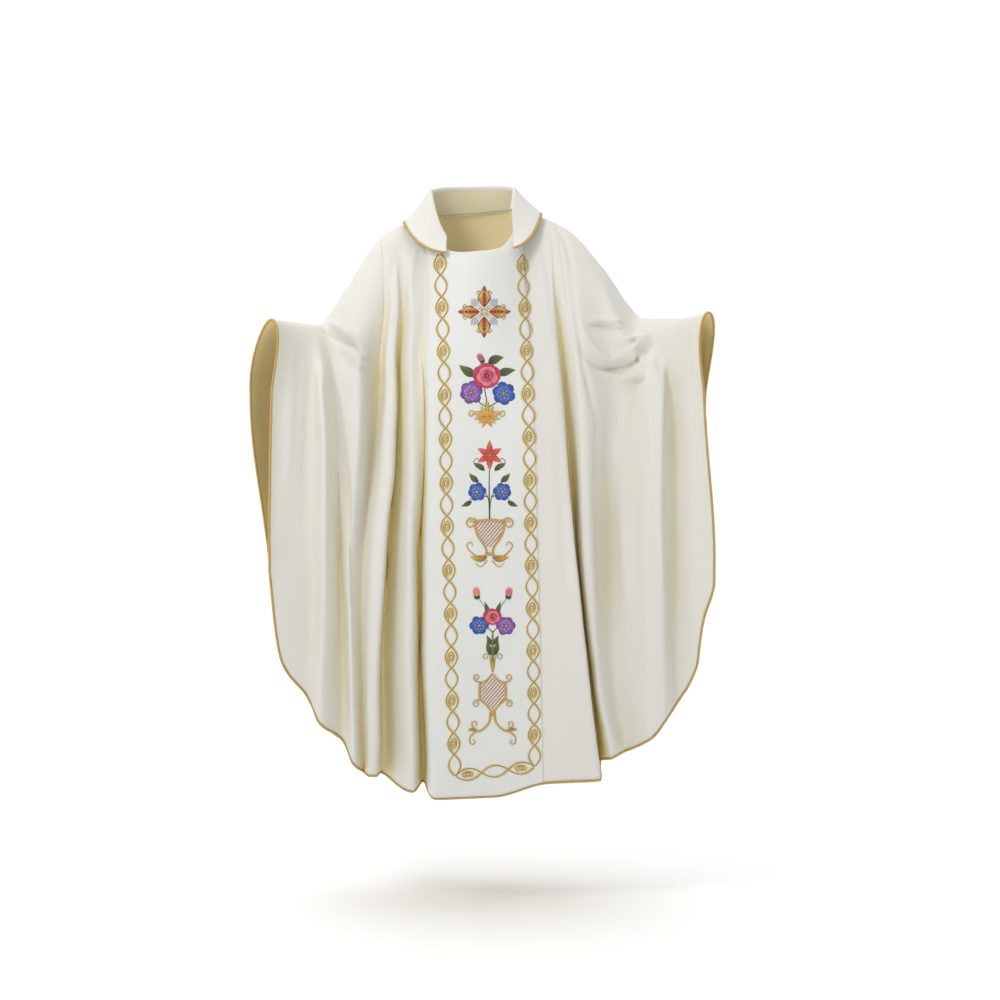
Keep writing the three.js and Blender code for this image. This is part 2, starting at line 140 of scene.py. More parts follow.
BACK_FOLDS = table(FOLD_COLUMNS, [
    ("left edge", 0, -460, -186, -429, -132, -380, -92, -715),
    ("left rim", 0.7, -438, -112, -408, -72, -374, -50, -905),
    ("left arm ridge", 1.5, -390, -22, -370, -6, -350, 18, -1015),
    ("left arm valley", 2.2, -335, 10, -322, 2, -314, 28, -1075),
    ("left wing ridge", 3, -268, 68, -266, 84, -272, 98, -1120),
    ("left blade valley", 3.7, -208, 62, -214, 52, -216, 58, -1152),
    ("left blade ridge", 4.3, -152, 104, -156, 120, -162, 142, -1180),
    ("left panel valley", 5, -92, 94, -96, 84, -94, 88, -1192),
    ("panel middle", 6, -8, 112, -2, 126, 4, 138, -1198),
    ("right panel valley", 7, 78, 96, 90, 86, 98, 92, -1190),
    ("right blade ridge", 7.7, 140, 106, 152, 122, 164, 138, -1176),
    ("right blade valley", 8.4, 202, 62, 212, 50, 224, 62, -1150),
    ("right wing ridge", 9.2, 262, 70, 268, 86, 280, 96, -1114),
    ("right arm valley", 10, 334, 14, 336, 6, 332, 28, -1068),
    ("right arm ridge", 10.7, 396, -26, 392, -8, 374, 14, -1000),
    ("right rim", 11.4, 440, -116, 428, -74, 398, -52, -888),
    ("right edge", 12, 456, -190, 447, -134, 414, -96, -712),
])

# The collar from its inner seam over the standing rim to its outer edge, and the angles of its open ends
COLLAR = table("half front back side throat nape tilt left_end right_end", [
    ("inner seam", 98.5, 111.5, 86.5, 22.2, -61.8, 22.2, 8, -33, 58),
    ("inner wall", 92, 106, 80, 44, -57, 48, 5, -35, 63),
    ("rim inside", 84, 104, 76, 64, -53, 73, 2, -38, 68),
    ("rim", 87.5, 108, 80, 70, -50, 79, 2, -37, 68),
    ("rim outside", 93, 114, 86, 64, -52, 72, 2, -34, 62),
    ("outer wall", 116, 122, 101, 36, -58, 37, 6, -27, 46),
    ("outer edge", 142, 132, 124, 11.5, -64, 2, 8.5, -21.5, 36),
])


def hermite(t, start, start_slope, end, end_slope):
    t2 = t * t
    t3 = t2 * t
    return (
        (2 * t3 - 3 * t2 + 1) * start
        + (t3 - 2 * t2 + t) * start_slope
        + (3 * t2 - 2 * t3) * end
        + (t3 - t2) * end_slope
    )


def calm_slope(before, after):
    """Slope at a row that neither overshoots its neighbours nor tilts a ridge or a valley floor."""
    limit = 2.5 * np.minimum(np.abs(before), np.abs(after))
    slope = np.sign(after) * np.minimum(np.abs(before + after) / 2, limit)
    return np.where(before * after <= 0, 0.0, slope)


def across(column, at):
    """A table's column read at places that may lie between two rows."""
    last = len(column) - 1
    i = np.clip(np.floor(at).astype(int), 0, last - 1)
    values = [column[np.clip(i + k, 0, last)] for k in (-1, 0, 1, 2)]
    steps = [values[k + 1] - values[k] for k in range(3)]
    start_slope = np.where(i == 0, steps[1], calm_slope(steps[0], steps[1]))
    end_slope = np.where(i == last - 1, steps[1], calm_slope(steps[1], steps[2]))
    return hermite(at - i, values[1], start_slope, values[2], end_slope)


def cubic_through(places, values, at, first_slope):
    """Cubic through four values at unevenly spaced places, each an array."""
    slopes = [
        first_slope,
        (values[2] - values[0]) / (places[2] - places[0]),
        (values[3] - values[1]) / (places[3] - places[1]),
        (values[3] - values[2]) / (places[3] - places[2]),
    ]
    result = None
    for i in range(3):
        span = places[i + 1] - places[i]
        share = (at - places[i]) / span
        piece = hermite(share, values[i], span * slopes[i], values[i + 1], span * slopes[i + 1])
        result = piece if result is None else np.where(at > places[i], piece, result)
    return result


def smooth(t):
    c = np.clip(t, 0, 1)
    return c * c * (3 - 2 * c)


def leaning(reach, angle):
    """The right side of the neckline and the collar drops sooner than the left."""
    return reach * (1 + NECKLINE["lean"] * np.sin(angle))


def top_point(station, side):
    """Point of the ridge or the neckline, with the cloth's rounding there. side: -1 front, 1 back."""
    left = {key: across(column, np.clip(station, 0, NECK_LEFT)) for key, column in RIDGE_LEFT.items()}
    right = {
        key: across(column, np.clip(station - NECK_RIGHT, 0, RIDGE_END - NECK_RIGHT))
        for key, column in RIDGE_RIGHT.items()
    }
    angle = (station - NECK_LEFT - 1) * math.pi / 2
    reach = np.cos(angle)
    depth = NECKLINE["front"] if side < 0 else NECKLINE["back"]
    fall = NECKLINE["throat_fall"] * smooth(leaning(reach, angle)) if side < 0 else 0
    neck = {
        "x": NECKLINE["x"] + NECKLINE["half"] * np.sin(angle),
        "y": side * depth * reach,
        "z": NECKLINE["side"] + NECKLINE["tilt"] * np.sin(angle) - fall,
        "roll": np.full_like(station, NECKLINE["roll"]),
        "turn": np.zeros_like(station),
    }
    at_neck = (station > NECK_LEFT) & (station < NECK_RIGHT)
    return {
        key: np.where(at_neck, neck[key], np.where(station <= NECK_LEFT, left[key], right[key]))
        for key in neck
    }


def drop_share(v):
    growing = 0.3
    return np.where(v < growing, v * v / (2 * growing), v - growing / 2) / (1 - growing / 2)


def rounding(share):
    """Rounding over the arm: rises at once, is full a quarter of the way to the chest, then fades."""
    w = np.clip(share, 0, 1)
    return np.sqrt(w) * (1 - w) ** 1.5 / (math.sqrt(0.25) * 0.75 ** 1.5)


def even_hem(folds, x):
    """Height of the hem where it is x across: a smooth line through the folds' own ends."""
    places, ends = folds["x_hem"], folds["end"]
    steps = np.diff(ends) / np.diff(places)
    before, after = steps[:-1], steps[1:]
    inner = np.where(after * before > 0, 2 * after * before / (after + before + 1e-12), 0)
    slopes = np.concatenate([[steps[0]], inner, [steps[-1]]])
    i = np.clip(np.searchsorted(places, x) - 1, 0, len(places) - 2)
    span = places[i + 1] - places[i]
    return hermite((x - places[i]) / span, ends[i], span * slopes[i], ends[i + 1], span * slopes[i + 1])


def sheet_point(folds, side, u, v):
    """The sheet's middle surface in millimetres: u along the folds' table, v from ridge to hem."""
    u, v = np.broadcast_arrays(np.asarray(u, float), np.asarray(v, float))
    last = len(folds["top"]) - 1
    fold = {key: across(column, u) for key, column in folds.items()}
    fold["end"] = even_hem(folds, fold["x_hem"])
    around = [across(folds["y_chest"], np.clip(u + k, 0, last)) for k in (-2, -1, 0, 1, 2)]
    top = top_point(fold["top"], side)
    z = top["z"] + (fold["end"] - top["z"]) * drop_share(v)
    places = [np.zeros_like(u), top["z"] - CHEST, top["z"] - HIP, top["z"] - HEM]
    down = top["z"] - z
    xs = [top["x"], fold["x_chest"], fold["x_hip"], fold["x_hem"]]
    ys = [top["y"], fold["y_chest"], fold["y_hip"], fold["y_hem"]]
    turn = np.radians(top["turn"])
    out = top["roll"] * rounding(down / places[1])
    x_slope = (xs[1] - xs[0]) / places[1]
    y_slope = (sum(around) / 5 - top["y"]) / places[1]
    x = cubic_through(places, xs, down, x_slope) - side * out * np.sin(turn)
    y = cubic_through(places, ys, down, y_slope) + side * out * np.cos(turn)
    return np.stack([x, y, z], -1)


def unit(vectors):
    length = np.linalg.norm(vectors, axis=-1, keepdims=True)
    return vectors / np.maximum(length, 1e-9)


def sheet_normal(folds, side, u, v, step=0.01):
    last = len(folds["top"]) - 1
    u, v = np.broadcast_arrays(np.asarray(u, float), np.asarray(v, float))
    along = sheet_point(folds, side, np.minimum(u + step, last), v)
    along = along - sheet_point(folds, side, np.maximum(u - step, 0), v)
    low = np.maximum(v - step, 0.0)
    down = sheet_point(folds, side, u, np.minimum(v + step, 1)) - sheet_point(folds, side, u, low)
    return unit(np.cross(down, along) * -side)


def place_of(folds, station):
    """The place in the folds' table whose fold starts at a place along the ridge."""
    low = np.zeros_like(station)
    high = np.full_like(station, len(folds["top"]) - 1)
    for _ in range(40):
        middle = (low + high) / 2
        before = across(folds["top"], middle) < station
        low = np.where(before, middle, low)
        high = np.where(before, high, middle)
    return (low + high) / 2


# Creases listed for each sheet: start, middle and end (x, z), half width, depth, above 0 for a ridge
FRONT_CREASES = [
    ("right crook, top line", 222, -204, 254, -203, 292, -208, 5, 9),
    ("right crook, under the line", 224, -216, 258, -215, 296, -223, 5, -9),
    ("right crook, upper roll", 216, -236, 276, -280, 350, -226, 7, 13),
    ("right crook, under the roll", 206, -259, 272, -305, 350, -247, 6.5, -15),
    ("right crook, light corner", 284, -246, 316, -242, 352, -230, 5, 8),
    ("right crook, dark corner", 335, -232, 338, -250, 333, -270, 8, -14),
    ("right crook, second roll", 228, -282, 300, -322, 356, -274, 7, 10),
    ("right crook, second hollow", 298, -344, 324, -318, 346, -286, 7, -12),
    ("right shoulder seam fold", 138, 6, 176, -40, 190, -134, 5, -6),
    ("right crook, fall", 330, -306, 302, -370, 292, -440, 9, -5),
    ("right shoulder edge", 188, -128, 212, -296, 238, -396, 5, -8),
    ("right tube", 198, -266, 216, -560, 232, -880, 10, 9),
    ("right tube's far side", 240, -392, 242, -600, 252, -800, 7, -8),
    ("right brown hollow", 262, -420, 268, -650, 276, -860, 16, -12),
    ("right forearm pleat", 386, -222, 366, -420, 370, -740, 6, 5),
    ("right forearm hollow", 396, -222, 376, -420, 380, -740, 6, -5),
    ("right wrist hollow", 402, -212, 396, -260, 394, -330, 7, -4),
    ("right wrist pleat", 424, -206, 428, -250, 432, -320, 5, 3),
    ("right wing soft ridge", 284, -440, 292, -620, 300, -800, 12, 4),
    ("right wing low hollow", 392, -560, 396, -720, 384, -880, 12, -4),
    ("right wing drift", 318, -470, 316, -640, 322, -820, 9, -4),
    ("left crook, roll", -318, -207, -282, -224, -244, -246, 7, 10),
    ("left crook, crease", -322, -220, -280, -243, -238, -263, 5.5, -14),
    ("left crook, second roll", -306, -238, -270, -268, -226, -286, 8, 8),
    ("left crook, second hollow", -292, -262, -256, -296, -214, -306, 10, -4),
    ("left wing soft hollow", -324, -280, -344, -400, -352, -640, 11, -5),
    ("left wing crisp ridge", -310, -292, -284, -530, -273, -780, 7, 6),
    ("left wing crisp edge", -297, -298, -269, -530, -257, -780, 6, -7),
    ("left wing drift", -372, -260, -380, -420, -386, -560, 9, 3),
    ("left wing low hollow", -330, -660, -336, -780, -328, -900, 14, -4),
    ("left deep valley's upper slope", -156, -250, -170, -420, -176, -580, 12, 5),
    ("left panel valley's shallow part", -114, -240, -122, -430, -124, -660, 9, 9),
    ("left shoulder drag", -170, -60, -186, -130, -192, -230, 8, -4),
    ("left chest drag", -128, -40, -140, -110, -142, -220, 7, 3),
    ("right shoulder drag", 120, -40, 140, -100, 146, -190, 8, -4),
    ("right chest fold", 150, -60, 164, -130, 172, -230, 7, 4),
    ("left panel drag", -140, -620, -134, -820, -132, -1000, 9, 4),
    ("right panel drag", 158, -420, 172, -640, 188, -860, 10, -3),
]
BACK_CREASES = [
    ("left arm drag", -300, -160, -262, -230, -190, -270, 10, -7),
    ("left arm roll", -312, -190, -268, -262, -186, -304, 10, 6),
    ("left arm second drag", -330, -240, -290, -320, -222, -368, 11, -5),
    ("right arm drag", 296, -150, 256, -216, 186, -262, 10, -7),
    ("right arm roll", 312, -182, 262, -250, 182, -296, 10, 6),
    ("right arm second drag", 334, -236, 290, -312, 216, -356, 11, -5),
    ("left forearm pleat", -392, -230, -384, -330, -372, -460, 7, 4),
    ("right forearm pleat", 406, -224, 396, -320, 386, -450, 7, 4),
    ("nape hollow", -60, -40, -4, -74, 58, -38, 12, -4),
    ("left blade drag", -120, -110, -134, -260, -130, -420, 9, 4),
    ("right blade drag", 116, -104, 128, -250, 126, -430, 9, 4),
    ("left low fold", -214, -560, -226, -760, -222, -980, 13, -5),
    ("middle low fold", 34, -520, 44, -740, 40, -1000, 13, -5),
    ("right low fold", 236, -540, 240, -760, 246, -960, 13, 5),
    ("left wing low fold", -330, -480, -338, -660, -328, -860, 12, 5),
    ("right wing low fold", 352, -460, 356, -650, 346, -850, 12, -5),
]


def crease_depth(creases, points):
    """How far each point of a sheet is moved out by the creases near it."""
    flat = points[..., [0, 2]].reshape(-1, 2)
    total = np.zeros(len(flat))
    for _, x0, z0, x1, z1, x2, z2, width, depth in creases:
        start, middle, end = np.array([x0, z0]), np.array([x1, z1]), np.array([x2, z2])
        bend = 2 * middle - (start + end) / 2
        along = np.linspace(0, 1, int(math.dist(start, end) / (0.4 * width)) + 8)
        t = along[:, None]
        curve = start * (1 - t) ** 2 + 2 * bend * t * (1 - t) + end * t ** 2
        low, high = curve.min(0) - 3 * width, curve.max(0) + 3 * width
        near = np.nonzero(((flat > low) & (flat < high)).all(1))[0]
        if not len(near):
            continue
        gaps = ((flat[near, None, :] - curve[None]) ** 2).sum(-1)
        closest = gaps.argmin(1)
        taper = np.sin(math.pi * np.clip(along[closest] * 0.92 + 0.04, 0, 1)) ** 0.8
        total[near] += depth * taper * np.exp(-gaps[np.arange(len(near)), closest] / width ** 2)
    return total.reshape(points.shape[:-1])


def drawn_aside(points):
    """How far the front's cloth lies left of its solid: left of the band, and over the right deep valley."""
    x, z = points[..., 0], points[..., 2]
    beside_band = smooth((-90 - x) / 26) * smooth((x + 250) / 44) * smooth((z + 1120) / 260)
    left = (9 + 5 * smooth((z + 560) / 160)) * beside_band * smooth((-150 - z) / 150)
    lip = np.interp(-z, [350, 690, 1180], [165, 194, 250])
    right = 13 * smooth((x - lip - 4) / 24) * smooth((lip + 130 - x) / 70)
    return -left - right * smooth((-440 - z) / 240) * smooth((z + 1110) / 160)


def arc_lengths(points, axis):
    """Running length along an axis of a grid of points."""
    steps = np.linalg.norm(np.diff(points, axis=axis), axis=-1)
    zero = np.zeros_like(np.take(steps, [0], axis))
    return np.concatenate([zero, np.cumsum(steps, axis)], axis)


def even_places(folds, side, first, last, spacing, seam_first, seam_last):
    """Columns of a panel, evenly spaced over its cloth, with a few close ones beside each seam."""
    fine = np.linspace(first, last, 1200)
    middle = arc_lengths(sheet_point(folds, side, fine, 0.45), 0)
    low = arc_lengths(sheet_point(folds, side, fine, 0.95), 0)
    length = (middle + low) / 2 + 0.02 * (fine - first)
    total = length[-1]
    wanted = list(np.linspace(0, total, int(total / spacing) + 1))
    close = [1.2, 2.6]
    if seam_first:
        wanted += close
    if seam_last:
        wanted += [total - x for x in close]
    return np.interp(sorted(wanted), length, fine)


def deselect():
    bpy.ops.object.select_all(action="DESELECT")


def select_only(piece):
    deselect()
    piece.select_set(True)
    bpy.context.view_layer.objects.active = piece


def grid_piece(name, points, uv):
    """A grid of points in millimetres, rows from the top, as a piece with a UV map in metres."""
    rows, columns = points.shape[:2]
    deselect()
    bpy.ops.mesh.primitive_grid_add(x_subdivisions=columns - 1, y_subdivisions=rows - 1, size=1)
    piece = bpy.context.object
    piece.name = piece.data.name = name
    mesh = piece.data
    mesh.vertices.foreach_set("co", (points[::-1] * MM).reshape(-1))
    corner = np.zeros(len(mesh.loops), int)
    mesh.loops.foreach_get("vertex_index", corner)
    mesh.uv_layers[0].data.foreach_set("uv", uv[::-1].reshape(-1, 2)[corner].reshape(-1))
    mesh.update()
    return piece


def cloth_uv(points, widths, row):
    """UV map in metres: widths as on one row of the grid, lengths down each column."""
    return np.stack([np.broadcast_to(widths[row], widths.shape), -arc_lengths(points, 0)], -1) * MM


def finish_cloth(piece, valley, thickness, *materials):
    """Gives a sheet its painted fold shade, its materials and its thickness; a second material, the same
    cloth painted golden as shade, covers the inside faces.
    """
    # The valley attribute carries painted shade: the cloth's colour ramp turns golden by it
    layer = piece.data.attributes.new("valley", "FLOAT", "POINT")
    layer.data.foreach_set("value", np.asarray(valley, float).reshape(-1))
    for material in materials:
        piece.data.materials.append(material)
    select_only(piece)
    modifier = piece.modifiers.new("Solidify", "SOLIDIFY")
    modifier.thickness = thickness * MM
    modifier.offset = 0.0
    modifier.use_quality_normals = True
    modifier.material_offset = len(materials) - 1
    bpy.ops.object.modifier_apply(modifier=modifier.name)
    bpy.ops.object.shade_smooth()
    return piece


def close_up(piece):
    """Merges the grid's meeting edges, turns all faces outwards and shades them smoothly."""
    select_only(piece)
    bpy.ops.object.mode_set(mode="EDIT")
    bpy.ops.mesh.select_all(action="SELECT")
    bpy.ops.mesh.remove_doubles(threshold=0.00002)
    bpy.ops.mesh.normals_make_consistent(inside=False)
    bpy.ops.object.mode_set(mode="OBJECT")
    bpy.ops.object.shade_smooth()


def fold_depths(folds, side):
    """How closed in the cloth is all over a sheet: 0 on a ridge, near 1 at the bottom of a tight fold; it
    sets the painted golden shade in the cloth's colour.
    """
    u = np.linspace(0, len(folds["top"]) - 1, 700)
    v = np.linspace(0, 1, 90)
    points = sheet_point(folds, side, u[None, :], v[:, None])
    across_x, out = points[..., 0], points[..., 1] * side
    walls = []
    for way in (-1, 1):
        highest = np.zeros(out.shape)
        for k in range(1, 60):
            near_x, near_out = np.roll(across_x, -way * k, 1), np.roll(out, -way * k, 1)
            apart = (near_x - across_x) * way
            angle = np.arctan2(near_out - out, np.maximum(apart, 0.5))
            angle = np.where((apart > 0) & (apart < FOLD_REACH), angle * (1 - (apart / FOLD_REACH) ** 2), 0)
            highest = np.maximum(highest, angle)
        walls.append(highest)
    return u, v, (walls[0] + walls[1]) / math.pi


def valley_share(sheet, u, v):
    """The sheet's fold depth at columns u and rows v."""
    fine_u, fine_v, share = sheet["depths"]
    rows = np.stack([np.interp(u, fine_u, row) for row in share])
    return np.stack([np.interp(v, fine_v, column) for column in rows.T], 1)


SHEETS = {
    "front": {"folds": FRONT_FOLDS, "side": -1, "creases": FRONT_CREASES, "spacing": 4.4},
    "back": {"folds": BACK_FOLDS, "side": 1, "creases": BACK_CREASES, "spacing": 5.0},
}
for sheet in SHEETS.values():
    sheet["depths"] = fold_depths(sheet["folds"], sheet["side"])


def dressed_point(sheet, u, v):
    """The sheet's surface with its listed creases."""
    base = sheet_point(sheet["folds"], sheet["side"], u, v)
    normal = sheet_normal(sheet["folds"], sheet["side"], u, v, 0.03)
    if sheet["side"] < 0:
        base[..., 0] += drawn_aside(base)
    x, z = base[..., 0], base[..., 2]
    drift = np.sin(x / 23 + 1.7 * np.sin(z / 118)) * np.sin(z / 173 + x / 61)
    drift = drift + 0.6 * np.sin(x / 13 + z / 260 + 2.1 * np.sin(z / 74))
    below = np.broadcast_to(v, x.shape)
    creased = crease_depth(sheet["creases"], base) * smooth(below / 0.09)
    moved = creased + 0.8 * drift * smooth(below / 0.25)
    return base + normal * moved[..., None]


def cloth_panel(name, sheet, start, end, rows):
    """One panel of a sheet, between two places along the ridge, sunk a little beside its seams."""
    folds, side = sheet["folds"], sheet["side"]
    first, last = place_of(folds, np.array([start, end], float))
    sewn_first, sewn_last = start > 0, end < RIDGE_END
    places = even_places(folds, side, first, last, sheet["spacing"], sewn_first, sewn_last)
    v = np.linspace(0, 1, rows + 1)
    points = dressed_point(sheet, places[None, :], v[:, None])
    normal = sheet_normal(folds, side, places[None, :], v[:, None], 0.02)
    widths = arc_lengths(points, 1)
    sunk = np.zeros(widths.shape)
    if sewn_first:
        sunk += np.exp(-((widths / SEAM_REACH) ** 2))
    if sewn_last:
        sunk += np.exp(-(((widths[:, -1:] - widths) / SEAM_REACH) ** 2))
    points = points - normal * sunk[..., None] * SEAM_SINK
    pull = SEAM_GAP / 2
    if sewn_first:
        points[:, 0] += unit(points[:, 1] - points[:, 0]) * pull
    if sewn_last:
        points[:, -1] += unit(points[:, -2] - points[:, -1]) * pull
    points[0] += unit(points[1] - points[0]) * pull
    uv = cloth_uv(points, widths, len(v) // 2)
    # Painted shade: each fold's depth and each crease's hollow turn the cloth golden through the valley
    # attribute
    plain = sheet_point(folds, side, places[None, :], v[:, None])
    hollow = np.clip(-crease_depth(sheet["creases"], plain), 0, 14)
    valley = valley_share(sheet, places, v) + HOLLOW_PAINTED_SHADE * hollow
    if side > 0:
        points, uv, valley = points[:, ::-1], uv[:, ::-1], valley[:, ::-1]
    return finish_cloth(grid_piece(name, points, uv), valley[::-1], CLOTH, cream_cloth, cloth_inside_painted_shade)


def new_material(name):
    material = bpy.data.materials.new(name)
    material.use_nodes = True
    nodes = material.node_tree.nodes
    links = material.node_tree.links
    return material, nodes, links, nodes["Principled BSDF"]


def add_node(nodes, kind, inputs=(), **settings):
    node = nodes.new("ShaderNode" + kind)
    for name, value in settings.items():
        setattr(node, name, value)
    set_inputs(node, dict(inputs))
    return node


def set_inputs(node, values):
    for name, value in values.items():
        node.inputs[name].default_value = value


def to_linear(colour):
    """Colours given as they look on screen, 0 to 255, in the shader's own terms."""
    c = np.asarray(colour) / 255
    return np.where(c <= 0.04045, c / 12.92, ((c + 0.055) / 1.055) ** 2.4)


def srgb(*colour):
    return (*to_linear(colour), 1.0)


def mix_colour(nodes, links, factor, a, b):
    node = add_node(nodes, "Mix", data_type="RGBA")
    for socket, value in (("Factor_Float", factor), ("A_Color", a), ("B_Color", b)):
        target = next(s for s in node.inputs if s.identifier == socket)
        if isinstance(value, bpy.types.NodeSocket):
            links.new(value, target)
        else:
            target.default_value = value
    return next(s for s in node.outputs if s.identifier == "Result_Color")


def add_bump(nodes, links, shader, height, strength, distance):
    bump = add_node(nodes, "Bump", {"Strength": strength, "Distance": distance})
    links.new(height, bump.inputs["Height"])
    links.new(bump.outputs["Normal"], shader.inputs["Normal"])


def cloth_material(name, shades, thread, roughness):
    """Fine plain weave: colour drifts a little, the valley attribute paints a golden shade into the folds,
    threads show as bump up close.
    """
    material, nodes, links, shader = new_material(name)
    # The valley attribute picks a colour from the ramp: painted golden shade in the folds
    valley = add_node(nodes, "Attribute", attribute_name="valley")
    shade = add_node(nodes, "ValToRGB")
    ramp = shade.color_ramp.elements
    while len(ramp) < len(shades):
        ramp.new(0.5)
    for element, (depth, colour) in zip(ramp, shades):
        element.position = depth
        element.color = srgb(*colour)
    links.new(valley.outputs["Fac"], shade.inputs["Fac"])
    uv = add_node(nodes, "UVMap", uv_map="UVMap").outputs["UV"]
    drift = add_node(nodes, "TexNoise", {"Scale": 9.0, "Detail": 3.0})
    links.new(uv, drift.inputs["Vector"])
    soft = add_node(nodes, "MapRange", {"From Min": 0.35, "From Max": 0.75, "To Max": 0.22})
    links.new(drift.outputs["Fac"], soft.inputs["Value"])
    darker = tuple(c * 0.93 for c in srgb(*shades[0][1])[:3]) + (1.0,)
    colour = mix_colour(nodes, links, soft.outputs["Result"], shade.outputs["Color"], darker)
    links.new(colour, shader.inputs["Base Color"])
    weave = add_node(nodes, "Math", operation="MULTIPLY")
    waves = {"Scale": 1 / thread / 6.283 * 3.1416, "Distortion": 0.6, "Detail": 1.0}
    for i, direction in enumerate("XY"):
        wave = add_node(nodes, "TexWave", waves, bands_direction=direction)
        links.new(uv, wave.inputs["Vector"])
        links.new(wave.outputs["Fac"], weave.inputs[i])
    add_bump(nodes, links, shader, weave.outputs["Value"], 0.35, 0.00012)
    set_inputs(shader, {
        "Roughness": roughness, "Sheen Weight": 0.1, "Sheen Roughness": 0.5, "Specular IOR Level": 0.25,
    })
    return material


# How the cloth's colour goes from its own cream on the ridges (0) to a painted golden shade at the bottom of
# the tightest folds (1)
CREAM_AND_PAINTED_FOLD_SHADE = [
    (0.0, (225, 223, 216)),
    (0.36, (224, 221, 211)),
    (0.56, (228, 222, 197)),
    (0.74, (248, 234, 176)),
    (0.95, (255, 230, 144)),
]
# The inside faces are the same cloth, painted golden as the shade inside the garment; the band has one even
# colour
INSIDE_PAINTED_SHADE = [(0.0, (250, 236, 190)), (1.0, (250, 236, 190))]
BAND_SHADES = [(0.0, (226, 227, 222)), (1.0, (226, 227, 222))]
cream_cloth = cloth_material("cream_cloth", CREAM_AND_PAINTED_FOLD_SHADE, 0.0009, 0.85)
cloth_inside_painted_shade = cloth_material("cloth_inside_painted_shade", INSIDE_PAINTED_SHADE, 0.0009, 0.9)
white_band = cloth_material("white_band", BAND_SHADES, 0.0007, 0.7)


def gold_material():
    """Twisted metallic thread: slanting strands, painted dark gold in their grooves as shade and light gold
    on their crests.
    """
    material, nodes, links, shader = new_material("gold_cord")
    uv = add_node(nodes, "UVMap", uv_map="UVMap")
    turn = add_node(nodes, "Mapping", {"Rotation": (0, 0, math.radians(40))})
    strands = add_node(nodes, "TexWave", {"Scale": 200.0, "Distortion": 0.4})
    links.new(uv.outputs["UV"], turn.inputs["Vector"])
    links.new(turn.outputs["Vector"], strands.inputs["Vector"])
    # Painted shade and light: the colour follows the strands' bump, dark gold where low, light gold where
    # high
    colour = mix_colour(nodes, links, strands.outputs["Fac"], srgb(160, 122, 56), srgb(236, 204, 122))
    links.new(colour, shader.inputs["Base Color"])
    add_bump(nodes, links, shader, strands.outputs["Fac"], 0.8, 0.0006)
    set_inputs(shader, {"Metallic": 0.45, "Roughness": 0.42})
    return material


def embroidery_material():
    """Satin stitch in the threads' own colours, with darker lines across it."""
    material, nodes, links, shader = new_material("embroidery")
    colour = add_node(nodes, "VertexColor", layer_name="thread")
    uv = add_node(nodes, "UVMap", uv_map="UVMap")
    stitch = add_node(nodes, "TexWave", {"Scale": 480.0, "Distortion": 0.8, "Detail": 1.0})
    links.new(uv.outputs["UV"], stitch.inputs["Vector"])
    shade = add_node(nodes, "MapRange", {"To Max": 0.22})
    links.new(stitch.outputs["Fac"], shade.inputs["Value"])
    dark = (0.02, 0.015, 0.01, 1)
    tinted = mix_colour(nodes, links, shade.outputs["Result"], colour.outputs["Color"], dark)
    links.new(tinted, shader.inputs["Base Color"])
    add_bump(nodes, links, shader, stitch.outputs["Fac"], 0.5, 0.0003)
    set_inputs(shader, {"Roughness": 0.45, "Sheen Weight": 0.15})
    return material


gold_cord = gold_material()
embroidery = embroidery_material()


# The six panels, each from seam to seam
PANELS = {
    "wing_left": (0.0, SEAM_LEFT),
    "centre": (SEAM_LEFT, SEAM_RIGHT),
    "wing_right": (SEAM_RIGHT, RIDGE_END),
}
ROWS = {"front": 250, "back": 220}
pieces = {}
for sheet_name, sheet in SHEETS.items():
    for panel_name, (start, end) in PANELS.items():
        name = f"{sheet_name}_{panel_name}"
        pieces[name] = cloth_panel(name + "_cloth", sheet, start, end, ROWS[sheet_name])
        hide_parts(name)


def front_band():
    """The whiter strip laid on the centre front panel, from the neckline to the hem."""
    sheet = SHEETS["front"]
    first, last = place_of(FRONT_FOLDS, np.array([NECK_LEFT, NECK_RIGHT]))
    places = even_places(FRONT_FOLDS, -1, first, last, 3.6, True, True)
    v = np.linspace(1 / 16, 1, 300)
    points = dressed_point(sheet, places[None, :], v[:, None])
    points = points + sheet_normal(FRONT_FOLDS, -1, places[None, :], v[:, None], 0.02) * BAND_LIFT
    piece = grid_piece("front_band_cloth", points, cloth_uv(points, arc_lengths(points, 1), 150))
    return finish_cloth(piece, np.zeros(points.shape[:2]), BAND_WALL, white_band)


pieces["front_band"] = front_band()
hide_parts("front_band")


def collar_point(row, place):
    """Middle of the collar's wall, at a row of its table and a place round it, 0 right end, 1 left."""
    at = {key: across(column, row) for key, column in COLLAR.items()}
    turns = np.interp(place, [0, 0.25, 0.7, 1], [0, 1, 3, 4])
    shoulder = math.pi / 2
    right_end, left_end = np.radians(at["right_end"]), np.radians(at["left_end"] + 360)
    angle = np.where(turns < 1, right_end + (shoulder - right_end) * turns, shoulder * turns)
    angle = np.where(turns > 3, 3 * shoulder + (left_end - 3 * shoulder) * (turns - 3), angle)
    ahead = np.cos(angle)
    reach = np.where(ahead > 0, at["front"], at["back"])
    middle = np.where(ahead > 0, at["throat"], at["nape"])
    drop = np.where(ahead > 0, smooth(leaning(ahead, angle)), smooth(-ahead))
    x = NECKLINE["x"] + at["half"] * np.sin(angle)
    z = at["side"] + at["tilt"] * np.sin(angle) + (middle - at["side"]) * drop
    return np.stack(np.broadcast_arrays(x, -reach * ahead, z), -1)


